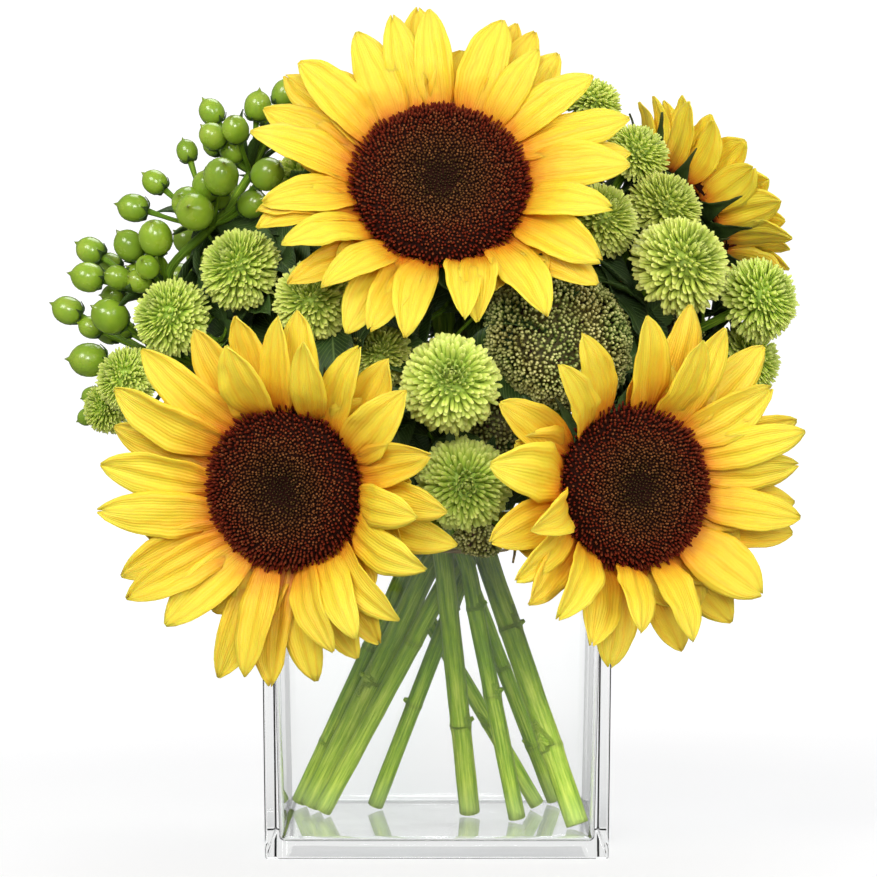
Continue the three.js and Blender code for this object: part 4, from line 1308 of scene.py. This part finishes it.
def one_berry(radius, tone):
    """A berry on its own axis, with its "reach" from 0 at the base to 1 at the tip."""
    made = spun([(r * radius * MM, h * radius * MM) for r, h in BERRY_PROFILE], 16,
                {"tone": tone, "reach": 0.0})
    heights = made.attributes["reach"].data
    for vert in made.vertices:
        heights[vert.index].value = vert.co.z / (BERRY_HEIGHT * radius * MM)
    return made


def hidden_berries(rng, fork, cluster):
    """Berries deeper in the bunch, between the fork and every other berry that shows."""
    x0, z0 = fork.x / MM, fork.z / MM
    return [(x0 + (x - x0) * 0.66 + rng.uniform(-5, 5), y + rng.uniform(7, 13),
             z0 + (z - z0) * 0.66 + rng.uniform(-5, 5), radius * 0.9)
            for x, y, z, radius in cluster[::2]]


def berry_cluster(name, forks, points):
    """A branch with its forks, and on each fork small leaves and berries with their sepals."""
    rng = random.Random(name)
    berries, sepals, leaves = bmesh.new(), bmesh.new(), bmesh.new()
    routes = [stem_route(name)]
    routes += knot_scars(name, routes[0])
    last = points[-1]
    heading = (points[-1] - points[-2]).normalized()
    for fork, cluster in forks:
        fork = metres(fork)
        bend = last + heading * (fork - last).length * 0.3
        routes.append(twig_route([last, bend, fork], BRANCH))
        towards = sum((metres(c[:3]) for c in cluster), Vector()) / len(cluster) - fork
        for _ in range(LEAVES_PER_FORK):
            loose = Vector([rng.gauss(0, 0.75) for _ in range(3)])
            along = (towards.normalized() + loose + Vector((0, 0.45, 0))).normalized()
            made = blade(rng, rng.uniform(17, 26) * MM, rng.uniform(8, 11) * MM, LEAF_OUTLINE,
                         bow=0.06, curl=rng.uniform(-0.15, 0.05), channel=0.4, ripple=0.06,
                         shade=rng.uniform(0.1, 0.7), across=4, along=10)
            gather(leaves, made, leaf_place(fork + along * 1.2 * MM, along))
        for x, y, z, radius in cluster + hidden_berries(rng, fork, cluster):
            middle = metres((x, y, z))
            look = (middle - fork).normalized()
            base = middle - look * 1.1 * radius * MM
            place = looking(base, look)
            gather(berries, one_berry(radius, rng.uniform(0, 0.55)), place)
            for index in range(SEPALS):
                turn = index * 2 * math.pi / SEPALS + rng.uniform(-0.15, 0.15)
                spot, long = petal_place(turn, turn, 0.25 * radius * MM, -0.1 * MM,
                                         0.98 * radius * MM, 0.42 * radius * MM, math.pi)
                gather(sepals, blade(rng, long, 0.62 * radius * MM, BRACT_OUTLINE, bow=0.12,
                                     channel=0.3, shade=0.6, across=2, along=5), place @ spot)
            drop = (fork + base) / 2 - UP * (0.05 * (base - fork).length)
            path = smooth_path([fork, drop, base + look * 0.6 * MM], 6)
            routes.append([(at, PEDICEL * MM * (1 + 0.5 * max(0, i - 9) / 3))
                           for i, at in enumerate(path)])
        heading = (fork - bend).normalized()
        last = fork
    piece(name + "_berries", berries, BERRY, [name])
    thicken(piece(name + "_sepals", sepals, LEAF), SEPAL_THICKNESS)
    thicken(piece(name + "_small_leaves", leaves, LEAF), SMALL_LEAF_THICKNESS)
    piece(name + "_twigs", stalk_mesh(routes, 3), TWIG_GREEN, cut=CUT_END)


for name, forks in BERRIES.items():
    berry_cluster(name, forks, stem_points(name))

# ---- Leaves ----------------------------------------------------------------------------------

LEAF_THICKNESS, LEAF_STALK, LEAF_STALK_RADIUS = 0.4, 2.2, 0.65

for name, (root, along, length, width) in LEAVES.items():
    rng = random.Random(name)
    bm = bmesh.new()
    made = blade(rng, length * MM, width * MM * 1.05, LEAF_OUTLINE, bow=0.06, curl=-0.08,
                 channel=0.35, ripple=0.07, twist=0.2, shade=rng.uniform(0, 0.5))
    start = metres(root) + Vector(along).normalized() * LEAF_STALK * MM
    gather(bm, made, leaf_place(start, along))
    thicken(piece(name + "_blade", bm, LEAF, [name]), LEAF_THICKNESS)


INNER_LEAVES = 440
INNER_DOME = (Vector((0, 2, 174)), (102, 78, 92))  # middle and half sizes, inside the flowers
INNER_LENGTHS, BETWEEN_LENGTH = (24, 36), 27
LOWEST_LEAF, LOWEST_TWIG = 122, 128  # nothing of a leaf is lower, and no twig that carries one

# Leaves between the heads: where each springs from its stalk and which way it grows.
BETWEEN_HEADS = [
    ((77, -8, 184), (0.1, 0, 1)), ((70, -4, 190), (0.7, 0.1, 0.7)), ((86, 0, 190), (0.9, 0, 0.4)),
    ((82, 6, 202), (0.8, 0, -0.3)), ((100, -6, 188), (0.5, 0, 0.8)), ((-84, 0, 204), (-0.3, 0, 1)),
    ((-96, 4, 214), (0.6, 0, 0.5)), ((-70, 0, 194), (0.1, 0, 1)), ((-78, 2, 206), (0.8, 0, 0.3)),
    ((28, -4, 123), (0.5, 0, 0.9)), ((22, 0, 130), (0.9, 0, 0.2)), ((38, -12, 124), (-0.3, 0, 1)),
    ((-30, -8, 124), (-0.5, 0, 0.9)), ((96, -2, 196), (1, 0, 0.1)), ((100, 4, 184), (0.3, 0, 1)),
    ((106, 0, 206), (0.4, 0.2, -0.9)), ((64, 0, 238), (0.4, 0, 0.9)),
    ((103, 6, 195), (0.1, 0, 1)), ((60, 4, 239), (0.3, 0, 0.95)),
]


def inner_foliage():
    """Smaller leaves that the twigs carry inside the bunch, each on its own short stalk."""
    rng = random.Random("inner foliage")
    leaves, stalks = bmesh.new(), []
    middle, (wide, deep, high) = INNER_DOME
    carried = [at for route in TWIG_ROUTES for at, *_ in route if at.z > LOWEST_TWIG * MM]
    places = []
    for index in range(INNER_LEAVES):
        polar = math.acos(1 - 1.6 * (index + 0.5) / INNER_LEAVES)
        turn = index * GOLDEN_TURN
        out = Vector((math.sin(polar) * math.cos(turn), math.sin(polar) * math.sin(turn),
                      math.cos(polar)))
        depth = rng.uniform(0.62, 0.96)
        root = middle + Vector((out.x * wide, out.y * deep, out.z * high)) * depth
        loose = Vector([rng.gauss(0, 1) for _ in range(3)])
        along = ((loose - out * loose.dot(out)).normalized() + out * 0.25).normalized()
        places.append((root * MM, along, rng.uniform(*INNER_LENGTHS) * MM))
    for root, along in BETWEEN_HEADS:
        places.append((metres(root), Vector(along).normalized(), BETWEEN_LENGTH * MM))
    for root, along, length in places:
        if min(root.z, (root + along * length).z) < LOWEST_LEAF * MM:
            continue
        made = blade(rng, length, length * rng.uniform(0.5, 0.6), LEAF_OUTLINE,
                     bow=0.06, curl=rng.uniform(-0.15, 0.05), channel=0.4, ripple=0.08,
                     twist=rng.uniform(-0.4, 0.4), shade=rng.uniform(0, 0.4), across=4, along=9)
        gather(leaves, made, leaf_place(root, along))
        twig = min(carried, key=lambda at: (at - root).length_squared)
        bend = twig.lerp(root, 0.5) - along * 0.2 * (root - twig).length
        path = smooth_path([twig, bend, root, root + along * 1.5 * MM], 4)
        stalks.append([(at, LEAF_STALK_RADIUS * MM) for at in path])
    thicken(piece("inner_leaves", leaves, LEAF), SMALL_LEAF_THICKNESS)
    piece("inner_leaf_stalks", stalk_mesh(stalks, 1), TWIG_GREEN)


inner_foliage()

# ---- Tie -------------------------------------------------------------------------------------

TIE_TURNS, TIE_STEPS = 4, 40
STRAND, KNOT_STRAND = 0.55, 0.5  # the raffia's radius in the turns and in the knot
STRAND_PITCH = 0.9  # from one turn up to the next


def stem_wrap():
    """Turns of raffia round the waist, following the CAD band, and a flat knot."""
    band = [vert.co.copy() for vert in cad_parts["stem_tie"].data.vertices]
    middle = sum(band, Vector()) / len(band)
    outline = []
    for index in range(TIE_STEPS):
        turn = 2 * math.pi * index / TIE_STEPS
        out = Vector((math.cos(turn), math.sin(turn), 0))
        outline.append(max((co - middle).dot(out) for co in band) - 0.9 * MM)
    knot = max(band, key=lambda co: co.x)
    routes = []
    for lap in range(TIE_TURNS):
        path = []
        for index in range(TIE_STEPS + 1):
            turn = 2 * math.pi * index / TIE_STEPS
            reach = outline[index % TIE_STEPS]
            lift = (lap - (TIE_TURNS - 1) / 2) * STRAND_PITCH + 0.5 * math.sin(turn * 2 + lap)
            path.append((middle + Vector((math.cos(turn) * reach, math.sin(turn) * reach,
                                          lift * MM)), STRAND * MM))
        routes.append(path)
    for side, fall in ((1, 7), (-1, 5), (1, -3)):
        loop = [knot + Vector(p) * MM for p in ((-1.5, 0, 0), (1.2, side * 1.6, 1.2),
                                               (1.6, side * 4, -fall * 0.4), (1, side * 6, -fall))]
        routes.append([(at, KNOT_STRAND * MM) for at in smooth_path(loop, 5)])
    piece("raffia_tie", stalk_mesh(routes, 2), RAFFIA, ["stem_tie"])


stem_wrap()

# ---- Floor, light and camera -----------------------------------------------------------------

FLOOR_SIZE = 6.0
FLOOR_DROP = 0.0003  # so that the glass and the floor don't share one plane

# How bright each thing is by itself: the floor's glow near the vase and far off, with the
# distances where it changes, and the backdrop as seen, as it lights and as it is mirrored.
FLOOR_GLOW, GLOW_SPREAD = (0.60, 0.95), (0.25, 1.6)
BACKDROP, BACKDROP_LIGHT, BACKDROP_MIRRORED = 1.12, 0.52, 0.20
SIDE_BACKDROP = 0.25  # how much of the backdrop is left towards the sides

# What is left of the mirror images inside the glass, of things before and behind the vase.
FLOOR_ECHO, BACKDROP_ECHO = (0.15, 0.8), (0.08, 0.8)

# Each soft lamp: its place, its size, its power in watts and its tint.
AIM = (0, 0, 0.17)
SOFT_LAMPS = {
    "key_softbox": ((-0.75, -1.25, 0.95), 0.7, 13.5, (1.0, 0.98, 0.95)),
    "fill_softbox": ((1.1, -1.0, 0.7), 0.9, 9, (1.0, 1.0, 1.0)),
    "top_softbox": ((0.1, 0.6, 1.3), 0.9, 7, (1.0, 1.0, 1.0)),
    "front_softbox": ((0.1, -1.7, 0.6), 0.5, 10, (1.0, 1.0, 1.0)),
}


def seen_straight(tree):
    """1 for what the camera sees, also through the glass, and 0 for what only lights."""
    rays = add(tree, "LightPath").outputs
    seen = maths(tree, "MAXIMUM", rays["Is Camera Ray"], rays["Is Transmission Ray"])
    return times(tree, seen, minus(tree, 1.0, rays["Diffuse Depth"], True))


def only_mirrored(tree):
    """1 for what only shows as a mirror image. A ray through glass counts as glossy too."""
    rays = add(tree, "LightPath").outputs
    return minus(tree, rays["Is Glossy Ray"], rays["Is Transmission Ray"], True)


def echo(tree, front, back):
    """1 for what is seen through the glass alone, less for what its inner faces mirror: how much
    is left of it in front of the vase and behind it."""
    where = split(tree, add(tree, "NewGeometry").outputs["Position"])
    left = remap(tree, where["Y"], front, back, -0.2, 0.2)
    mirrored = maths(tree, "MINIMUM", add(tree, "LightPath").outputs["Glossy Depth"], 1.0)
    return minus(tree, 1.0, times(tree, mirrored, minus(tree, 1.0, left)))


def pale_floor():
    bm = bmesh.new()
    bmesh.ops.create_grid(bm, x_segments=2, y_segments=2, size=FLOOR_SIZE / 2)
    floor = bpy.data.objects.new("pale_floor", as_mesh(bm, "pale_floor"))
    floor.location.z = -FLOOR_DROP
    bpy.context.scene.collection.objects.link(floor)
    made, tree, shader = finish("pale_paper", Roughness=0.9, Specular_IOR_Level=0.1)
    body = ramp(tree, speckle(tree, 3.0), (0.3, "#9C9C9E"), (0.7, "#A2A2A2"))
    body = blend(tree, only_mirrored(tree), body, "#606060")
    tree.links.new(body, shader.inputs["Base Color"])
    away = add(tree, "VectorMath", {0: own_place(tree)}, operation="LENGTH").outputs["Value"]
    glow = remap(tree, away, *FLOOR_GLOW, *GLOW_SPREAD)
    glow = times(tree, glow, echo(tree, *FLOOR_ECHO))
    glow = times(tree, seen_straight(tree), glow)
    shader.inputs["Emission Color"].default_value = (1, 1, 1, 1)
    tree.links.new(glow, shader.inputs["Emission Strength"])
    floor.data.materials.append(made)


def soft_light(name, at, size, watts, tint):
    lamp = bpy.data.lights.new(name, "AREA")
    lamp.shape, lamp.size, lamp.energy = "DISK", size, watts
    lamp.color = tint
    holder = bpy.data.objects.new(name, lamp)
    bpy.context.scene.collection.objects.link(holder)
    holder.location = at
    holder.rotation_euler = (Vector(AIM) - Vector(at)).to_track_quat("-Z", "Y").to_euler()


def backdrop():
    """A white studio all round, dimmer to the sides for all but what the camera sees itself."""
    world = bpy.data.worlds.new("white_studio")
    bpy.context.scene.world = world
    world.use_nodes = True
    tree = world.node_tree
    seen = tree.nodes["Background"]
    seen.inputs["Color"].default_value = (1, 1, 1, 1)
    strength = remap(tree, only_mirrored(tree), BACKDROP_LIGHT, BACKDROP_MIRRORED)
    unseen = add(tree, "Background", {"Color": (1, 1, 1, 1), "Strength": strength})
    sideways = split(tree, add(tree, "TexCoord").outputs["Generated"])["X"]
    sideways = maths(tree, "ABSOLUTE", sideways)
    bright = remap(tree, sideways, 1.0, SIDE_BACKDROP, 0.2, 0.6)
    bright = maths(tree, "MAXIMUM", bright, add(tree, "LightPath").outputs["Is Camera Ray"])
    bright = times(tree, bright, echo(tree, *BACKDROP_ECHO))
    tree.links.new(times(tree, bright, BACKDROP), seen.inputs["Strength"])
    both = add(tree, "MixShader", {0: seen_straight(tree), 1: unseen.outputs[0],
                                   2: seen.outputs[0]})
    tree.links.new(both.outputs[0], tree.nodes["World Output"].inputs["Surface"])


def camera():
    lens = bpy.data.cameras.new("front_camera")
    lens.lens, lens.sensor_width = CAMERA_LENS, SENSOR_WIDTH
    holder = bpy.data.objects.new("front_camera", lens)
    holder.location = metres(CAMERA_AT)
    holder.rotation_euler = (math.radians(90 - CAMERA_PITCH), 0, 0)
    bpy.context.scene.collection.objects.link(holder)
    bpy.context.scene.camera = holder


pale_floor()
backdrop()
for name, lamp in SOFT_LAMPS.items():
    soft_light(name, *lamp)
camera()
bpy.context.scene.view_settings.view_transform = "Standard"
